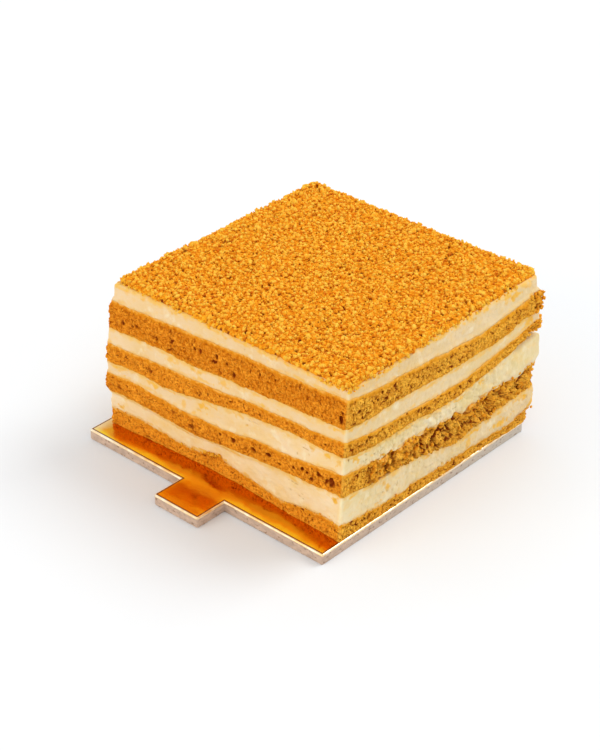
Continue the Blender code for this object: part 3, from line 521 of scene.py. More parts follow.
def cream_relief(name, layer, side):
    """How far a cream's side stands out, how much painted shade each vertex gets in its pores, dents and
    cracks, and how much painted shade darkens its layer.
    """
    turn, height, places = side["turn"], side["height"], side["places"]
    dragged = places * np.array((1, 1, 1.6))
    out = 0.1 * soft_noise(places, 2.6, layer + 110) + 0.06 * soft_noise(dragged, 0.9, layer + 112)
    pushed = warped(places, 0.3, 0.8, 175)
    small = pores(pushed, 1.6, 0.2, (0.12, 0.28), layer * 7 + 120)
    dent = behind_share(turn) * pores(pushed, 4.2, 0.4, (0.25, 0.55), layer * 7 + 130)
    dent = np.maximum(dent, side_spots(DENTS[name], turn, height, places))
    cracks = side_spots(CRACKS.get(name, ()), turn, height + 0.4 * soft_noise(places, 1.8, 176), places)
    out -= 0.15 * small + 0.35 * dent + cracks
    rough_share = CREAM_ROUGH[name] * smooth_step(0.25, 0.3, turn)
    if name != "cream_1":
        rough_share *= 1 - smooth_step(0.44, 0.48, turn)
    chunk, chunk_own = grains(warped(places, 0.6, 1.0, 177), 1.4, layer * 7 + 140)
    out += rough_share * (0.3 * (chunk - 0.5) + 0.35 * (chunk_own - 0.5))
    if name == "cream_2":
        slumped = smooth_step(NOTCH_START, NOTCH_END, side["share"])
        out -= NOTCH_DEPTH * slumped * hump(turn, RIGHT_CORNER, NOTCH_HALF_WIDTH)
    if name == "cream_4":
        out -= 0.5 * smooth_step(0.8, 1.0, side["share"]) ** 2
    # The last value is the layer's painted shade at each corner, evening out the light
    return out, np.clip(0.4 * small + 0.8 * dent + 2.5 * cracks, 0, 1), corner_mix(CREAM_PAINTED_SHADE[name], turn)


def cream_smears(name, layer, side):
    """Where honey is smeared on a cream's side: the listed smears, and others like them behind."""
    turn, height, places = side["turn"], side["height"], side["places"]
    patches = soft_noise(warped(places, 0.5, 1.0, 420), 2.2, layer + 410)
    others = 0.8 * behind_share(turn) * smooth_step(0.35, 0.75, patches)
    return np.maximum(side_spots(SMEARS[name], turn, height, places, SMEAR_RAGGED), others)


def reach_here(layer, turn, share):
    """How far a layer stands out, easing to halfway between it and its neighbour at each seam."""
    own = corner_mix(LAYERS[layer][1], turn)
    upper = corner_mix(LAYERS[min(layer + 1, len(LAYERS) - 1)][1], turn)
    lower = corner_mix(LAYERS[max(layer - 1, 0)][1], turn)
    near_top = smooth_step(0.75, 1, share) / 2
    near_foot = smooth_step(0.25, 0, share) / 2
    return own + (upper - own) * near_top + (lower - own) * near_foot


def drum_mesh(points, rows):
    """A fine drum with rings on its two ends."""
    bm = bmesh.new()
    bmesh.ops.create_cone(bm, cap_ends=True, segments=points, radius1=1, radius2=1, depth=1)
    ends = [face for face in bm.faces if len(face.verts) == points]
    uprights = [edge for edge in bm.edges if abs(edge.verts[0].co.z - edge.verts[1].co.z) > 0.5]
    radius = 1.0
    for ring in RING_RADII:
        bmesh.ops.inset_individual(bm, faces=ends, thickness=radius - ring, use_even_offset=True)
        radius = ring
    bmesh.ops.subdivide_edges(bm, edges=uprights, cuts=rows - 1, use_grid_fill=True)
    mesh = bpy.data.meshes.new("drum")
    bm.to_mesh(mesh)
    bm.free()
    return mesh


def mesh_places(mesh):
    places = np.zeros(len(mesh.vertices) * 3)
    mesh.vertices.foreach_get("co", places)
    return places.reshape(-1, 3)


def set_places(mesh, places):
    mesh.vertices.foreach_set("co", np.ascontiguousarray(places, float).ravel())
    mesh.update()


def set_attribute(mesh, name, values):
    attribute = mesh.attributes.new(name, "FLOAT", "POINT")
    attribute.data.foreach_set("value", np.ascontiguousarray(values, np.float32))


def new_piece(name, mesh, surface, slot, *nodes):
    """A finished piece on the root body, standing for the nodes that it replaces."""
    piece = bpy.data.objects.new(name, mesh)
    bpy.context.scene.collection.objects.link(piece)
    mesh.materials.append(surface)
    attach(piece, "root")
    if nodes:
        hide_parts(*nodes)
    return piece


def make_layer(layer, surface):
    """One sponge or cream layer: a drum whose round side is laid along the cake's square outline."""
    name = LAYERS[layer][0]
    kind = name.split("_")[0]
    points = OUTLINE_POINTS[kind]
    mean_height = np.mean(seam_corners(layer + 1)) - np.mean(seam_corners(layer))
    rows = max(6, round(mean_height / ROW_HEIGHT[kind]))
    mesh = drum_mesh(points, rows)
    drum = mesh_places(mesh)
    turn_number = np.round(np.arctan2(drum[:, 1], drum[:, 0]) / math.tau * points)
    turn = (turn_number % points) / points
    share = np.round((drum[:, 2] + 0.5) * rows) / rows
    radius = np.hypot(drum[:, 0], drum[:, 1])

    core = core_place(turn)
    rises = [seam_rise(seam, turn) for seam in (layer, layer + 1)]
    foot, top = (seam_plane(seam, side_place(turn, np.full(len(turn), seam_corners(seam)[0]))) + rise
                 for seam, rise in zip((layer, layer + 1), rises))
    height = mix(foot, top, share)
    places = np.column_stack([side_place(turn, height), height])
    side = {"turn": turn, "share": share, "height": height, "places": places,
            "below": top - height, "above": height - foot}
    out, pit, tone = (sponge_relief if kind == "sponge" else cream_relief)(name, layer, side)
    corner_away = np.abs(turn * 4 - np.round(turn * 4)) * SIDE_LENGTH
    corner_share = np.clip(1 - corner_away / CORNER_RADIUS, 0, 1)
    out += reach_here(layer, turn, share) - CORNER_SET_IN * CORNER_RADIUS * corner_share**2
    out += 0.3 * soft_noise(places, 6.0, 500) + 0.08 * soft_noise(places, 2.4, 501)

    stretch = 1 + out / CORE_INSET
    rim = core + (side_place(turn, height) - core) * stretch[:, None]
    low = seam_plane(layer, rim) + rises[0] * stretch + SKIN_GAP / 2
    high = seam_plane(layer + 1, rim) + rises[1] * stretch - SKIN_GAP / 2
    final = np.column_stack([rim, mix(low, high, share)])
    seam_here = np.where(share < 0.5, seam_plane(layer, core) + SKIN_GAP / 2,
                         seam_plane(layer + 1, core) - SKIN_GAP / 2)
    inner = np.column_stack([core, seam_here])
    for ring, ring_share in zip(RING_RADII, RING_SHARES):
        on_ring = np.abs(radius - ring) < 0.02
        final[on_ring] = mix(final[on_ring], inner[on_ring], ring_share)
    final *= MM
    final[:, 2] += CARD_TOP
    set_places(mesh, final)
    # The "pit" mark is painted shade: in the sponges' pores, pits and gaps between clumps, and in the creams'
    # pores, dents and cracks
    set_attribute(mesh, "pit", pit)
    # The "tone" mark is the sponges' own tone with painted light and shade on the front side, and the creams'
    # painted shade
    set_attribute(mesh, "tone", tone)
    set_attribute(mesh, "below", side["below"])
    set_attribute(mesh, "above", side["above"])
    if kind == "cream":
        set_attribute(mesh, "smear", cream_smears(name, layer, side))
    # The "edge" mark pales a strip down the near corner: partly cream film and the knife's smoothed burr,
    # partly a painted highlight
    set_attribute(mesh, "edge", corner_share * (np.abs(turn - 0.25) < 0.1))
    # The "honey" mark is painted warm light: the front side's colour is turned warmer, the two sides behind
    # half as much, the right side not at all
    front = np.clip(front_share(turn) + smooth_step(0.99, 1.0, turn), 0, 1)
    set_attribute(mesh, "honey", front + 0.5 * behind_share(turn))
    mesh.shade_smooth()
    mesh.name = "cake_" + name
    return new_piece("cake_" + name, mesh, surface, kind, name)


# Materials

class Surface:
    """A material being put together, with short ways to add and join its nodes."""

    def __init__(self, name):
        self.material = bpy.data.materials.new(name)
        self.material.use_nodes = True
        self.tree = self.material.node_tree
        self.shader = self.tree.nodes["Principled BSDF"]

    def set(self, **values):
        for name, value in values.items():
            self.shader.inputs[name.replace("_", " ")].default_value = value

    def node(self, kind, links=(), **settings):
        made = self.tree.nodes.new(kind)
        for name, value in settings.items():
            setattr(made, name, value)
        for name, value in dict(links).items():
            if isinstance(value, bpy.types.NodeSocket):
                self.tree.links.new(value, made.inputs[name])
            else:
                made.inputs[name].default_value = value
        return made

    def place(self):
        return self.node("ShaderNodeTexCoord").outputs["Object"]

    def attribute(self, name):
        return self.node("ShaderNodeAttribute", attribute_name=name).outputs["Fac"]

    def noise(self, scale, detail=2.0, roughness=0.5, stretch=(1, 1, 1)):
        mapped = self.node("ShaderNodeMapping", {"Vector": self.place(), "Scale": stretch})
        made = self.node("ShaderNodeTexNoise", {"Vector": mapped.outputs["Vector"], "Scale": scale,
                                                "Detail": detail, "Roughness": roughness})
        return made.outputs["Fac"]

    def band(self, value, low, high, start=0.0, end=1.0):
        made = self.node("ShaderNodeMapRange", {"Value": value, "From Min": low, "From Max": high,
                                                "To Min": start, "To Max": end})
        return made.outputs["Result"]

    def blend(self, share, first, second):
        made = self.node("ShaderNodeMix", data_type="RGBA")
        for index, value in ((0, share), (6, first), (7, second)):
            if isinstance(value, bpy.types.NodeSocket):
                self.tree.links.new(value, made.inputs[index])
            else:
                made.inputs[index].default_value = value
        return made.outputs[2]

    def math(self, operation, first, second):
        made = self.node("ShaderNodeMath", {0: first, 1: second}, operation=operation)
        return made.outputs[0]

    def add(self, first, second):
        return self.math("ADD", first, second)

    def multiply(self, first, second):
        return self.math("MULTIPLY", first, second)

    def bump(self, height, distance, strength=1.0, under=None):
        links = {"Height": height, "Distance": distance, "Strength": strength}
        if under is not None:
            links["Normal"] = under
        return self.node("ShaderNodeBump", links).outputs["Normal"]

    def join(self, name, value):
        self.tree.links.new(value, self.shader.inputs[name])


def linear(red, green, blue):
    """A material colour from the screen values of 0 to 255 that it is known by."""
    values = [value / 255 for value in (red, green, blue)]
    curved = [value / 12.92 if value <= 0.04045 else ((value + 0.055) / 1.055) ** 2.4 for value in values]
    return (*curved, 1.0)


def sponge_surface():
    """Baked honey sponge: open tan crumb, painted shade in its pores, a smooth soaked band on top, stained
    seams, and painted warm light on its front side.
    """
    made = Surface("honey_sponge")
    honey = made.attribute("honey")
    below = made.add(made.attribute("below"), made.band(made.noise(900, 2), 0.3, 0.7, -0.4, 0.4))
    above = made.add(made.attribute("above"), made.band(made.noise(1100, 2), 0.3, 0.7, -0.3, 0.3))
    open_crumb = made.band(below, 0.5, 1.2)

    # Painted shade in fine pores
    pits = made.band(made.noise(1700, 2.5, 0.55), 0.42, 0.34)
    fine_pits = made.band(made.noise(3000, 2), 0.42, 0.34, 0, 0.7)
    pits = made.multiply(made.math("MAXIMUM", pits, fine_pits), open_crumb)

    mottle = made.band(made.noise(1500, 4, 0.6), 0.35, 0.65, 0, 0.5)
    tone = made.band(made.add(mottle, made.attribute("tone")), 0.15, 1.0)
    # pale is the crumb in the right side's cooler light, warm is the crumb with painted warm light, which the
    # "honey" mark gives the front side
    pale = made.blend(tone, linear(188, 112, 0), linear(254, 188, 64))
    warm = made.blend(tone, linear(202, 106, 0), linear(254, 166, 44))
    crumb = made.blend(honey, pale, warm)
    patchy = made.blend(made.band(made.noise(260, 3), 0.35, 0.7, 0, 0.4), crumb, linear(210, 118, 10))
    fine = made.blend(made.multiply(pits, 0.6), patchy, linear(168, 82, 2))
    # The soaked band, with painted warm light on the front side
    soak = made.blend(honey, linear(226, 152, 34), linear(222, 138, 24))
    soaked = made.blend(open_crumb, soak, fine)
    # Painted shade in the pores, pits and gaps
    pits_in_painted_shade = made.blend(made.band(made.attribute("pit"), 0.08, 0.65, 0, 0.95), soaked, linear(124, 40, 0))
    stained_top = made.blend(made.band(below, 0.5, 0.0, 0, 0.75), pits_in_painted_shade, linear(242, 178, 84))
    stained = made.blend(made.band(above, 0.45, 0.0, 0, 0.65), stained_top, linear(240, 168, 50))
    # A paler strip down the near corner: partly a film of cream dragged by the knife, partly a painted
    # highlight
    corner_film_and_highlight = made.blend(made.band(made.attribute("edge"), 0.2, 0.8, 0, 0.6), stained, linear(252, 188, 70))
    made.join("Base Color", corner_film_and_highlight)
    rough = made.bump(made.multiply(made.noise(2300, 3, 0.6), open_crumb), 0.0002, 0.6)
    made.join("Normal", made.bump(made.multiply(pits, -1.0), 0.0002, 0.8, rough))
    made.set(Roughness=0.8, Specular_IOR_Level=0.06, Subsurface_Weight=0.1,
             Subsurface_Radius=(1.0, 0.45, 0.15), Subsurface_Scale=0.0003)
    return made.material


def cream_surface():
    """Set sour cream: warm white, a soft sheen, honey-coloured smears and stains at its seams."""
    made = Surface("sour_cream")
    honey = made.attribute("honey")
    below = made.add(made.attribute("below"), made.band(made.noise(420, 3), 0.3, 0.7, -0.8, 0.8))
    above = made.add(made.attribute("above"), made.band(made.noise(470, 3), 0.3, 0.7, -0.6, 0.6))
    # pale is the cream in the right side's cooler light, warm is the cream with painted warm light, which the
    # "honey" mark gives the front side
    pale = made.blend(made.band(made.noise(110, 3), 0.35, 0.65), linear(228, 203, 144), linear(236, 216, 174))
    warm = made.blend(made.band(made.noise(130, 3), 0.35, 0.65), linear(240, 204, 142), linear(242, 214, 172))
    fresh = made.blend(honey, pale, warm)
    # Painted shade, darkening the cream layers that the lamps light more
    tone = made.blend(made.attribute("tone"), fresh, linear(224, 186, 132))
    cloudy = made.blend(made.band(made.noise(320, 4, 0.6, (1, 1, 1.5)), 0.5, 0.7, 0, 0.4), tone,
                        linear(240, 194, 104))
    milky = made.blend(made.band(made.noise(240, 3, 0.6), 0.58, 0.75, 0, 0.6), cloudy, linear(247, 234, 200))
    # Painted shade in the pores, dents and cracks
    dent = made.blend(made.band(made.attribute("pit"), 0.15, 0.8, 0, 0.75), milky, linear(196, 150, 76))
    foot_stain = made.blend(made.band(above, 0.7, 0.0, 0, 0.7), dent, linear(236, 182, 90))
    top_stain = made.blend(made.band(below, 1.3, 0.0, 0, 0.85), foot_stain, linear(240, 186, 76))
    smear = made.band(made.attribute("smear"), 0.0, 0.75)
    smeared = made.blend(smear, top_stain, linear(238, 180, 62))
    # A paler strip down the near corner: partly the knife's smoothed burr, partly a painted highlight
    corner_film_and_highlight = made.blend(made.band(made.attribute("edge"), 0, 1, 0, 0.5), smeared, linear(255, 240, 196))
    made.join("Base Color", corner_film_and_highlight)
    fine = made.bump(made.noise(1500, 3, 0.6), 0.00008, 0.6)
    made.join("Normal", made.bump(made.noise(380, 4, 0.6, (1, 1, 1.6)), 0.0004, 0.6, fine))
    made.set(Roughness=0.42, Specular_IOR_Level=0.3, Subsurface_Weight=0.2,
             Subsurface_Radius=(1.0, 0.75, 0.45), Subsurface_Scale=0.0007)
    return made.material


def crumb_surface(name, dark, light):
    """Dry cake crumb of one shade, with its own fine grain."""
    made = Surface(name)
    tone = made.blend(made.band(made.noise(900, 3), 0.35, 0.65), linear(*dark), linear(*light))
    made.join("Base Color", tone)
    made.join("Normal", made.bump(made.noise(3600, 4, 0.65), 0.00022, 0.9))
    made.set(Roughness=0.8, Specular_IOR_Level=0.15, Subsurface_Weight=0.1,
             Subsurface_Radius=(1.0, 0.45, 0.1), Subsurface_Scale=0.0004)
    return made.material


def bed_surface():
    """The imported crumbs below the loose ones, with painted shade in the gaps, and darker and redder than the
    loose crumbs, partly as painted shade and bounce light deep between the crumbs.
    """
    made = Surface("crumb_bed")
    tone = made.blend(made.band(made.noise(900, 3), 0.35, 0.65), linear(228, 130, 0), linear(250, 170, 28))
    made.join("Base Color", made.blend(made.band(made.attribute("pit"), 0.3, 1.0), tone, linear(124, 40, 0)))
    made.join("Normal", made.bump(made.noise(2600, 3), 0.00015, 0.7))
    made.set(Roughness=0.85, Specular_IOR_Level=0.15)
    return made.material


# Where the foil gets painted reflections: a painted bright reflection along its front edge, a painted
# reflection of the cake beside the cake and a painted glare at its left end; and where the board's edge gets
# painted cooler light, greyer towards the back; each from its first place to its second
FOIL_PAINTED_BRIGHT_REFLECTION = (-36.4 * MM, -37.6 * MM)
FOIL_PAINTED_CAKE_REFLECTION = (-36.4 * MM, -35.0 * MM)
FOIL_PAINTED_GLARE = (-36.5 * MM, -39.5 * MM)
BOARD_PAINTED_COOL_LIGHT = (-42.8 * MM, 30.0 * MM)


def foil_surface():
    """Gold foil on board: a bright mirror with soft waves, with a painted glare that pales its left end, a
    painted reflection of the cake beside the cake and a painted bright reflection along its front edge.
    """
    made = Surface("gold_foil")
    made.join("Roughness", made.band(made.noise(160, 4, 0.5, (1, 2.5, 1)), 0.35, 0.7, 0.08, 0.22))
    uneven = made.band(made.noise(180, 3), 0.3, 0.7, -0.001, 0.001)
    apart = made.node("ShaderNodeSeparateXYZ", {"Vector": made.place()}).outputs
    across = made.add(apart["X"], uneven)
    along = made.add(apart["Y"], uneven)
    gold = made.blend(made.band(made.noise(90, 3, 0.5, (1, 2, 1)), 0.35, 0.65),
                      linear(238, 150, 2), linear(250, 168, 6))
    from_tab = made.math("ABSOLUTE", made.math("SUBTRACT", across, TAB_MIDDLE), 0)
    beside_tab = made.band(from_tab, TAB_WIDTH / 2 - 2 * MM, TAB_WIDTH / 2 + MM)
    # Painted bright reflection along the front edge, beside the tab
    bright_reflection_share = made.multiply(made.band(along, *FOIL_PAINTED_BRIGHT_REFLECTION), beside_tab)
    bright = made.blend(bright_reflection_share, gold, linear(255, 206, 36))
    # Painted reflection of the cake, darker and richer beside it
    rich = made.blend(made.band(along, *FOIL_PAINTED_CAKE_REFLECTION, 0, 0.8), bright, linear(218, 146, 2))
    # Painted glare at the left end
    painted_glare_share = made.band(across, *FOIL_PAINTED_GLARE, 0, 0.75)
    made.join("Base Color", made.blend(painted_glare_share, rich, linear(250, 222, 168)))
    waves = made.bump(made.noise(80, 2, 0.5, (1, 1.6, 1)), 0.0005, 0.5)
    made.join("Normal", made.bump(made.noise(700, 3, 0.5, (1, 2, 1)), 0.00005, 0.3, waves))
    made.set(Metallic=1.0)
    return made.material


def rim_surface():
    """The foil where it is pressed over the board's edge: thin and bright, coloured paler than the foil as a
    painted highlight.
    """
    made = Surface("foil_rim")
    made.join("Base Color", made.blend(made.band(made.noise(400, 3), 0.35, 0.65), linear(246, 208, 150),
                                       linear(255, 242, 214)))
    made.join("Normal", made.bump(made.noise(700, 3), 0.00006, 0.5))
    made.set(Metallic=1.0, Roughness=0.32)
    return made.material


def painted_crease_shade_surface():
    """The line that the press leaves just inside the rim, coloured dull brown as painted shade in the crease.
    """
    made = Surface("foil_painted_crease_shade")
    made.set(Base_Color=linear(128, 62, 2), Metallic=0.5, Roughness=0.35)
    return made.material


def board_surface():
    """Raw greige fibre board, mottled with brown, with fibres lying flat, and greyer towards its back: painted
    cooler light, against the warm light at the front.
    """
    made = Surface("fibre_board")
    tone = made.blend(made.band(made.noise(420, 4, 0.6, (1, 1, 2)), 0.35, 0.65), linear(184, 146, 122),
                      linear(224, 184, 154))
    along = made.node("ShaderNodeSeparateXYZ", {"Vector": made.place()}).outputs["Y"]
    # Painted cooler light: the board turns greyer towards the back
    board_in_painted_cool_light = made.blend(made.band(along, *BOARD_PAINTED_COOL_LIGHT, 0.3, 0.95), tone, linear(200, 188, 172))
    speck = made.band(made.noise(800, 3, 0.5, (1, 1, 1.5)), 0.58, 0.7, 0, 0.8)
    made.join("Base Color", made.blend(speck, board_in_painted_cool_light, linear(136, 96, 70)))
    made.join("Normal", made.bump(made.noise(1200, 4, 0.6, (1, 1, 2)), 0.0003, 0.8))
    made.set(Roughness=0.9)
    return made.material


# Crumb topping

TOPPING_WIDTH = 76
TOPPING_DEPTH = 72
TOPPING_INSET = 0.3
TOPPING_EDGE_WOBBLE = 0.35
TOPPING_CORNER_SHARE = 0.08
TOPPING_CORNER_INSET = 0.55
BED_CELLS = (310, 296)
BED_THICKNESS = 0.9
BED_EDGE_THICKNESS = 0.45
BED_ROUNDING = 1.2

# The share of the crumbs at the edge that lie heaped at the corners, and how far along the edge they spread
HEAPED = 0.16
HEAP_SPREAD = 0.008

# How many shapes the crumbs of one kind are copied from
CRUMB_SHAPES = 24


def topping_place(across, along):
    """A place on the topping, from its left edge across to the right and from its front edge to the back."""
    left, near, right, back = TOP_CORNERS
    front_line = mix(left, near, across[:, None])
    back_line = mix(back, right, across[:, None])
    place = mix(front_line, back_line, along[:, None])
    flat = np.column_stack([place, np.zeros(len(place))])
    wobble = TOPPING_EDGE_WOBBLE * (soft_noise(flat, 3.0, 200) + 0.6 * soft_noise(flat, 1.1, 201))
    edge = np.column_stack([2 * across - 1, 2 * along - 1])
    near_corner = np.clip(1 - (1 - np.abs(edge).min(axis=1)) / TOPPING_CORNER_SHARE, 0, 1)
    inset = TOPPING_INSET + wobble + TOPPING_CORNER_INSET * near_corner**2
    return place - inset[:, None] * edge


def bed_height(across, along):
    """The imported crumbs' upper side, rounded off at its edges, with its gaps between crumbs and its holes."""
    place = topping_place(across, along)
    flat = np.column_stack([place, np.zeros(len(place))])
    grain, own = grains(flat, 0.8, 210)
    fine, _ = grains(flat, 0.42, 220)
    swell = 0.16 * soft_noise(flat, 11.0, 230) + 0.14 * soft_noise(flat, 3.5, 231)
    hole = pores(flat, 1.4, 0.8, (0.35, 0.7), 240)
    top = BED_THICKNESS + swell + 0.3 * grain + 0.25 * own + 0.1 * fine - 0.9 * hole
    from_edge = SIDE_LENGTH * np.minimum(np.minimum(across, 1 - across), np.minimum(along, 1 - along))
    rounding = np.sqrt(np.clip(from_edge / BED_ROUNDING, 0, 1))
    height = seam_plane(len(LAYERS), place) + mix(BED_EDGE_THICKNESS, top, rounding)
    # Where the bed gets painted shade: between its grains and in its holes
    gap = np.clip(np.maximum(0.8 - 1.6 * grain, 1.6 * hole), 0, 1)
    return place, height, gap, hole


def make_bed(surface):
    """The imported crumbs: a fine sheet of grains with a flat underside."""
    bm = bmesh.new()
    bmesh.ops.create_grid(bm, x_segments=BED_CELLS[0], y_segments=BED_CELLS[1], size=0.5)
    rim = [edge for edge in bm.edges if edge.is_boundary]
    skirt = bmesh.ops.extrude_edge_only(bm, edges=rim)["geom"]
    for vertex in skirt:
        if isinstance(vertex, bmesh.types.BMVert):
            vertex.co.z = -1
    hem = [edge for edge in skirt if isinstance(edge, bmesh.types.BMEdge) and edge.is_boundary]
    bmesh.ops.contextual_create(bm, geom=hem)
    bmesh.ops.recalc_face_normals(bm, faces=bm.faces)
    mesh = bpy.data.meshes.new("crumb_bed")
    bm.to_mesh(mesh)
    bm.free()
    grid = mesh_places(mesh)
    place, height, gap, _ = bed_height(grid[:, 0] + 0.5, grid[:, 1] + 0.5)
    under = seam_plane(len(LAYERS), place) + SKIN_GAP / 2
    final = np.column_stack([place, np.where(grid[:, 2] < -0.5, under, height)]) * MM
    final[:, 2] += CARD_TOP
    set_places(mesh, final)
    # The "pit" mark is painted shade in the gaps and holes
    set_attribute(mesh, "pit", gap)
    mesh.shade_smooth()
    return new_piece("crumb_bed", mesh, surface, "crumb", "crumb_topping")


def crumb_shape(draw, detail):
    """One crumb about 1 across, knocked out of shape. The plain kind is a ball of 20 faces."""
    bm = bmesh.new()
    if detail:
        bmesh.ops.create_cube(bm, size=1)
        bmesh.ops.subdivide_edges(bm, edges=bm.edges, cuts=detail, use_grid_fill=True)
        bmesh.ops.triangulate(bm, faces=bm.faces)
    else:
        bmesh.ops.create_icosphere(bm, subdivisions=1, radius=0.55)
    for vertex in bm.verts:
        rounded = vertex.co.normalized() * 0.55
        vertex.co = vertex.co.lerp(rounded, 0.6) * draw.uniform(0.66, 1.3)
    places = np.array([vertex.co[:] for vertex in bm.verts])
    faces = np.array([[vertex.index for vertex in face.verts] for face in bm.faces])
    bm.free()
    return places, faces


def crumb_heap(name, spots, sizes, surface, seed, slot="crumb", detail=1):
    """Crumbs of one kind at the given spots, joined into one piece. Each is a copy of one of a few shapes."""
    draw = random.Random(seed)
    shapes = [crumb_shape(draw, detail) for _ in range(CRUMB_SHAPES)]
    all_places = []
    all_faces = []
    count = 0
    for spot, size in zip(spots, sizes):
        places, faces = shapes[draw.randrange(len(shapes))]
        turned = np.array(Euler([draw.uniform(0, math.tau) for _ in range(3)]).to_matrix())
        squeeze = np.array([draw.uniform(0.55, 1.25) for _ in range(3)])
        all_places.append((places * squeeze) @ turned.T * size + spot)
        all_faces.append(faces + count)
        count += len(places)
    final = np.concatenate(all_places) * MM
    final[:, 2] += CARD_TOP
    faces = np.concatenate(all_faces)
    mesh = bpy.data.meshes.new(name)
    mesh.vertices.add(len(final))
    mesh.vertices.foreach_set("co", final.ravel())
    mesh.loops.add(faces.size)
    mesh.loops.foreach_set("vertex_index", faces.ravel().astype(np.int32))
    mesh.polygons.add(len(faces))
    mesh.polygons.foreach_set("loop_start", np.arange(0, faces.size, 3, dtype=np.int32))
    mesh.update(calc_edges=True)
    mesh.shade_smooth()
    return new_piece(name, mesh, surface, slot)


def topping_spots(spacing, draw):
    """Evenly scattered spots over the topping, one in each cell of a grid, knocked off its middle."""
    across_count = int(TOPPING_WIDTH / spacing)
    along_count = int(TOPPING_DEPTH / spacing)
    cells = np.array(list(itertools.product(range(across_count), range(along_count))), float)
    cells += draw.uniform(0.0, 1.0, cells.shape)
    return cells[:, 0] / across_count, cells[:, 1] / along_count


def rim_spots(count, draw):
    """Spots strewn along the topping's edge and heaped at its corners, down to the cream's upper edge."""
    heaped = draw.uniform(0, 1, count) < HEAPED
    at_corner = draw.integers(0, 4, count) / 4 + draw.normal(0, HEAP_SPREAD, count)
    turn = np.where(heaped, at_corner, draw.uniform(0, 1, count)) % 1
    place = side_place(turn, np.full(count, SIDE_HEIGHT))
    centre = TOP_CORNERS.mean(axis=0)
    inward = draw.uniform(-0.1, 1.1, count) + 0.3 * heaped
    place += (centre - place) / np.abs(centre - place).max(axis=1)[:, None] * inward[:, None]
    drop = np.where(inward < 0.35, draw.uniform(-0.7, 0.4, count), draw.uniform(0.1, 0.9, count))
    drop += 0.7 * heaped * smooth_step(0.3, 0.9, inward)
    return np.column_stack([place, seam_plane(len(LAYERS), place) + drop])


def make_crumbs():
    """The loose crumbs on the bed, one piece for each kind.

    A kind gives its name, spacing, least and greatest size, dark and light shade, seed, how many lie along
    the edge, and how finely each crumb is cut.
    """
    kinds = (
        # The tiny crumbs, which fill the gaps, are darker and redder, partly as painted shade and bounce light
        # deep between the crumbs
        ("crumbs_tiny", 0.8, (0.32, 0.52), (234, 132, 0), (252, 178, 32), 11, 700, 0),
        ("crumbs_small", 0.82, (0.46, 0.7), (246, 156, 10), (255, 194, 52), 15, 700, 0),
        ("crumbs_medium", 1.3, (0.62, 0.92), (252, 166, 26), (255, 204, 74), 12, 400, 1),
        ("crumbs_coarse", 2.6, (0.85, 1.2), (252, 168, 28), (255, 202, 70), 13, 60, 1),
        ("crumbs_toasted", 4.2, (0.5, 0.85), (214, 110, 8), (238, 140, 20), 14, 20, 1),
    )
    for name, spacing, (smallest, largest), dark, light, seed, rim_count, detail in kinds:
        draw = np.random.default_rng(seed)
        place, height, _, hole = bed_height(*topping_spots(spacing, draw))
        lift = draw.uniform(-0.1, 0.4, len(place)) * (smallest + largest) / 2
        bedded = np.column_stack([place, height + lift])[hole < 0.1]
        spots = np.concatenate([bedded, rim_spots(rim_count, draw)])
        sizes = draw.uniform(smallest, largest, len(spots))
        crumb_heap(name, spots, sizes, crumb_surface(name, dark, light), seed, detail=detail)


# The height at which the seams are read for the stray crumbs, and how far these sink into the pits
STRAY_SEAM_HEIGHT = 20.0
STRAY_SINK = 2.2


def make_stray_crumbs():
    """Sponge crumbs that cling to the torn stretch, the ragged right corner and the seams' crumbly edges.

    A patch gives how many crumbs it has, its turns, the seams it lies between, the least and greatest size,
    and how far the crumbs lie out from the side.
    """
    draw = np.random.default_rng(21)
    patches = (
        (150, (TORN_START, TORN_END), (2.1, 3), (0.4, 1.1), (-0.4, 0.5)),
        (40, (TORN_START, TORN_END), (2.9, 3.1), (0.3, 0.8), (-0.2, 0.3)),
        (70, (0.485, 0.515), (6, 7), (0.5, 1.1), (-0.5, 0.15)),
        (50, (0.482, 0.518), (4, 5), (0.5, 1.0), (-0.5, 0.15)),
        (30, (0.48, 0.514), (2, 3), (0.5, 1.0), (-0.5, 0.2)),
        (60, (0.0, 0.25), (0.9, 1.05), (0.25, 0.6), (-0.2, 0.15)),
        (60, (0.25, 0.5), (0.9, 1.05), (0.25, 0.6), (-0.2, 0.15)),
        (90, (0.5, 1.0), (0.9, 1.05), (0.25, 0.6), (-0.2, 0.15)),
        (12, (0.1, 0.122), (0.95, 1.1), (0.5, 0.9), (-0.1, 0.3)),
    )
    spots = []
    sizes = []
    for count, turns, seams, (smallest, largest), (inmost, outmost) in patches:
        turn = draw.uniform(*turns, count)
        level = draw.uniform(*seams, count)
        lower = np.clip(np.floor(level), 0, len(LAYERS) - 1).astype(int)
        halfway = side_place(turn, np.full(count, STRAY_SEAM_HEIGHT))
        seam_heights = np.stack([seam_plane(seam, halfway) + seam_rise(seam, turn)
                                 for seam in range(len(LAYERS) + 1)])
        every = np.arange(count)
        height = mix(seam_heights[lower, every], seam_heights[lower + 1, every], level - lower)
        reach = np.stack([corner_mix(reach, turn) for _, reach in LAYERS])[lower, every]
        upright = side_place(turn, height)
        hollow = side_spots(PITS["sponge_2"], turn, height, np.column_stack([upright, height]))
        out = reach + draw.uniform(inmost, outmost, count) - STRAY_SINK * hollow
        core = core_place(turn)
        place = core + (upright - core) * (1 + out / CORE_INSET)[:, None]
        spots.append(np.column_stack([place, height]))
        sizes.append(draw.uniform(smallest, largest, count))
    # The stray crumbs are brighter than the sponge they come from: painted light, as if lit from behind at the
    # edges
    surface = crumb_surface("stray_crumb", (232, 144, 14), (252, 184, 54))
    crumb_heap("crumbs_stray", np.concatenate(spots), np.concatenate(sizes), surface, 22, "sponge", 2)


# Card

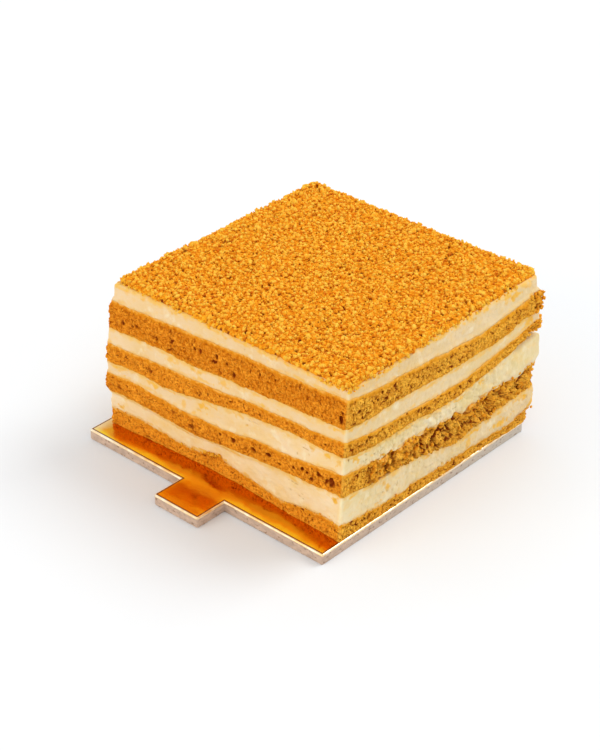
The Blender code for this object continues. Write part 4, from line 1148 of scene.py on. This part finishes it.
FOIL_THICKNESS = 0.55 * MM
FOIL_RIM = 0.38 * MM
CREASE_WIDTH = 0.34 * MM
BOARD_INSET = 0.04 * MM
BOARD_ROUNDING = 0.25 * MM
TAB_WIDTH = 15.0 * MM
TAB_MIDDLE = 0.5 * MM
TAB_CORNER = 0.6 * MM
CARD_CORNER = 0.4 * MM


def bevel(bm, edges, width, segments):
    bmesh.ops.bevel(bm, geom=edges, offset=width, segments=segments, affect="EDGES", profile=0.5, material=-1)


def upright_edges(bm, is_wanted):
    found = []
    for edge in bm.edges:
        low, high = edge.verts
        upright = (low.co.xy - high.co.xy).length < 1e-6
        if upright and is_wanted(low.co):
            found.append(edge)
    return found


def card_slab(low, high, inset):
    """A flat slab of the card's outline between two heights, drawn in on all sides."""
    bm = bmesh.new()
    width = card_high.x - card_low.x - 2 * inset
    depth = 2 * card_high.y - 2 * inset
    bmesh.ops.create_cube(bm, size=1)
    bmesh.ops.scale(bm, vec=(width, depth, high - low), verts=bm.verts)
    bmesh.ops.translate(bm, vec=(0, 0, (low + high) / 2), verts=bm.verts)
    for side in (TAB_MIDDLE - TAB_WIDTH / 2 + inset, TAB_MIDDLE + TAB_WIDTH / 2 - inset):
        everything = bm.verts[:] + bm.edges[:] + bm.faces[:]
        bmesh.ops.bisect_plane(bm, geom=everything, plane_co=(side, 0, 0), plane_no=(1, 0, 0))
    root = [face for face in bm.faces
            if face.normal.y < -0.9 and abs(face.calc_center_median().x - TAB_MIDDLE) < TAB_WIDTH / 4]
    drawn = bmesh.ops.extrude_face_region(bm, geom=root)["geom"]
    bmesh.ops.delete(bm, geom=root, context="FACES_ONLY")
    tip = [vertex for vertex in drawn if isinstance(vertex, bmesh.types.BMVert)]
    bmesh.ops.translate(bm, vec=(0, card_low.y + card_high.y, 0), verts=tip)
    bevel(bm, upright_edges(bm, lambda place: place.y < card_low.y + 2 * MM), TAB_CORNER, 4)
    bevel(bm, upright_edges(bm, lambda place: abs(place.x) > card_high.x - MM), CARD_CORNER, 3)
    return bm


def rim_edges(bm, height):
    """The edges round a slab's upper or lower face."""
    return [edge for edge in bm.edges
            if edge.calc_face_angle(0) > math.radians(60)
            and all(abs(vertex.co.z - height) < 0.01 * MM for vertex in edge.verts)]


def finish_slab(bm, name, surface, slot, *nodes):
    bmesh.ops.recalc_face_normals(bm, faces=bm.faces)
    mesh = bpy.data.meshes.new(name)
    bm.to_mesh(mesh)
    bm.free()
    mesh.shade_smooth()
    mesh.set_sharp_from_angle(angle=math.radians(40))
    return new_piece(name, mesh, surface, slot, *nodes)


def edge_away(place):
    """How far inside the card's outline a place lies."""
    on_card = min(card_high.x - abs(place.x), card_high.y - abs(place.y))
    on_tab = min(TAB_WIDTH / 2 - abs(place.x - TAB_MIDDLE), place.y - card_low.y)
    return max(on_card, on_tab)


def crease_foil(bm):
    """Cuts a narrow band round the foil's upper face, to be the crease inside the rim."""
    band = FOIL_RIM + CREASE_WIDTH
    cuts = [((side * (card_high.x - band), 0, 0), (1, 0, 0)) for side in (-1, 1)]
    cuts += [((TAB_MIDDLE + side * (TAB_WIDTH / 2 - band), 0, 0), (1, 0, 0)) for side in (-1, 1)]
    cuts += [((0, y, 0), (0, 1, 0)) for y in (card_low.y + band, band - card_high.y, card_high.y - band)]
    for place, across in cuts:
        everything = bm.verts[:] + bm.edges[:] + bm.faces[:]
        bmesh.ops.bisect_plane(bm, geom=everything, plane_co=place, plane_no=across)
    for face in bm.faces:
        if face.normal.z > 0.9 and edge_away(face.calc_center_bounds()) < band:
            face.material_index = 2


def make_card(foil, rim, crease, board):
    bm = card_slab(0, CARD_TOP - FOIL_THICKNESS, BOARD_INSET)
    bevel(bm, rim_edges(bm, 0), BOARD_ROUNDING, 2)
    finish_slab(bm, "card_board", board, "gold_card", "gold_card")
    bm = card_slab(CARD_TOP - FOIL_THICKNESS, CARD_TOP, 0)
    crease_foil(bm)
    bevel(bm, rim_edges(bm, CARD_TOP), FOIL_RIM, 5)
    for face in bm.faces:
        if face.normal.z < 0.99 and face.calc_center_median().z > CARD_TOP - FOIL_THICKNESS:
            face.material_index = 1
    piece = finish_slab(bm, "card_foil", foil, "gold_card")
    piece.data.materials.append(rim)
    piece.data.materials.append(crease)


# Floor, light and camera

def add_floor():
    bm = bmesh.new()
    bmesh.ops.create_grid(bm, x_segments=1, y_segments=1, size=4)
    mesh = bpy.data.meshes.new("floor")
    bm.to_mesh(mesh)
    bm.free()
    floor = bpy.data.objects.new("floor", mesh)
    bpy.context.scene.collection.objects.link(floor)
    made = Surface("white_table")
    made.set(Base_Color=(0.82, 0.825, 0.83, 1), Roughness=0.7)
    mesh.materials.append(made.material)


def add_light(name, place, size, energy, color):
    light = bpy.data.lights.new(name, "AREA")
    light.shape = "SQUARE"
    light.size = size
    light.energy = energy
    light.color = color
    holder = bpy.data.objects.new(name, light)
    holder.location = place
    holder.rotation_euler = (Vector((0, 0, 0.02)) - Vector(place)).to_track_quat("-Z", "Y").to_euler()
    bpy.context.scene.collection.objects.link(holder)


def add_world(strength):
    world = bpy.data.worlds.new("studio")
    world.use_nodes = True
    background = world.node_tree.nodes["Background"]
    background.inputs["Color"].default_value = (0.955, 0.98, 1.0, 1)
    background.inputs["Strength"].default_value = strength
    bpy.context.scene.world = world


CAMERA_PLACE = (0.2949, -0.3266, 0.2917)
CAMERA_PITCH = 31.87
CAMERA_TURN = 42.31
CAMERA_LENS = 98.3


def add_camera():
    camera = bpy.data.cameras.new("camera")
    camera.lens = CAMERA_LENS
    camera.sensor_width = 36
    holder = bpy.data.objects.new("camera", camera)
    holder.location = CAMERA_PLACE
    holder.rotation_euler = (math.radians(90 - CAMERA_PITCH), 0, math.radians(CAMERA_TURN))
    bpy.context.scene.collection.objects.link(holder)
    bpy.context.scene.camera = holder


def main():
    sponge = sponge_surface()
    cream = cream_surface()
    for layer, (name, _) in enumerate(LAYERS):
        make_layer(layer, sponge if name.startswith("sponge") else cream)
    make_bed(bed_surface())
    make_crumbs()
    make_stray_crumbs()
    make_card(foil_surface(), rim_surface(), painted_crease_shade_surface(), board_surface())
    add_floor()
    add_world(strength=0.92)
    add_light("key", (0.65, 1.45, 2.0), size=1.2, energy=27, color=(0.95, 0.98, 1.0))
    add_light("fill", (-0.8, -2.4, 0.9), size=1.6, energy=17, color=(1, 0.9, 0.76))
    add_camera()
    bpy.context.scene.view_settings.view_transform = "Standard"


main()
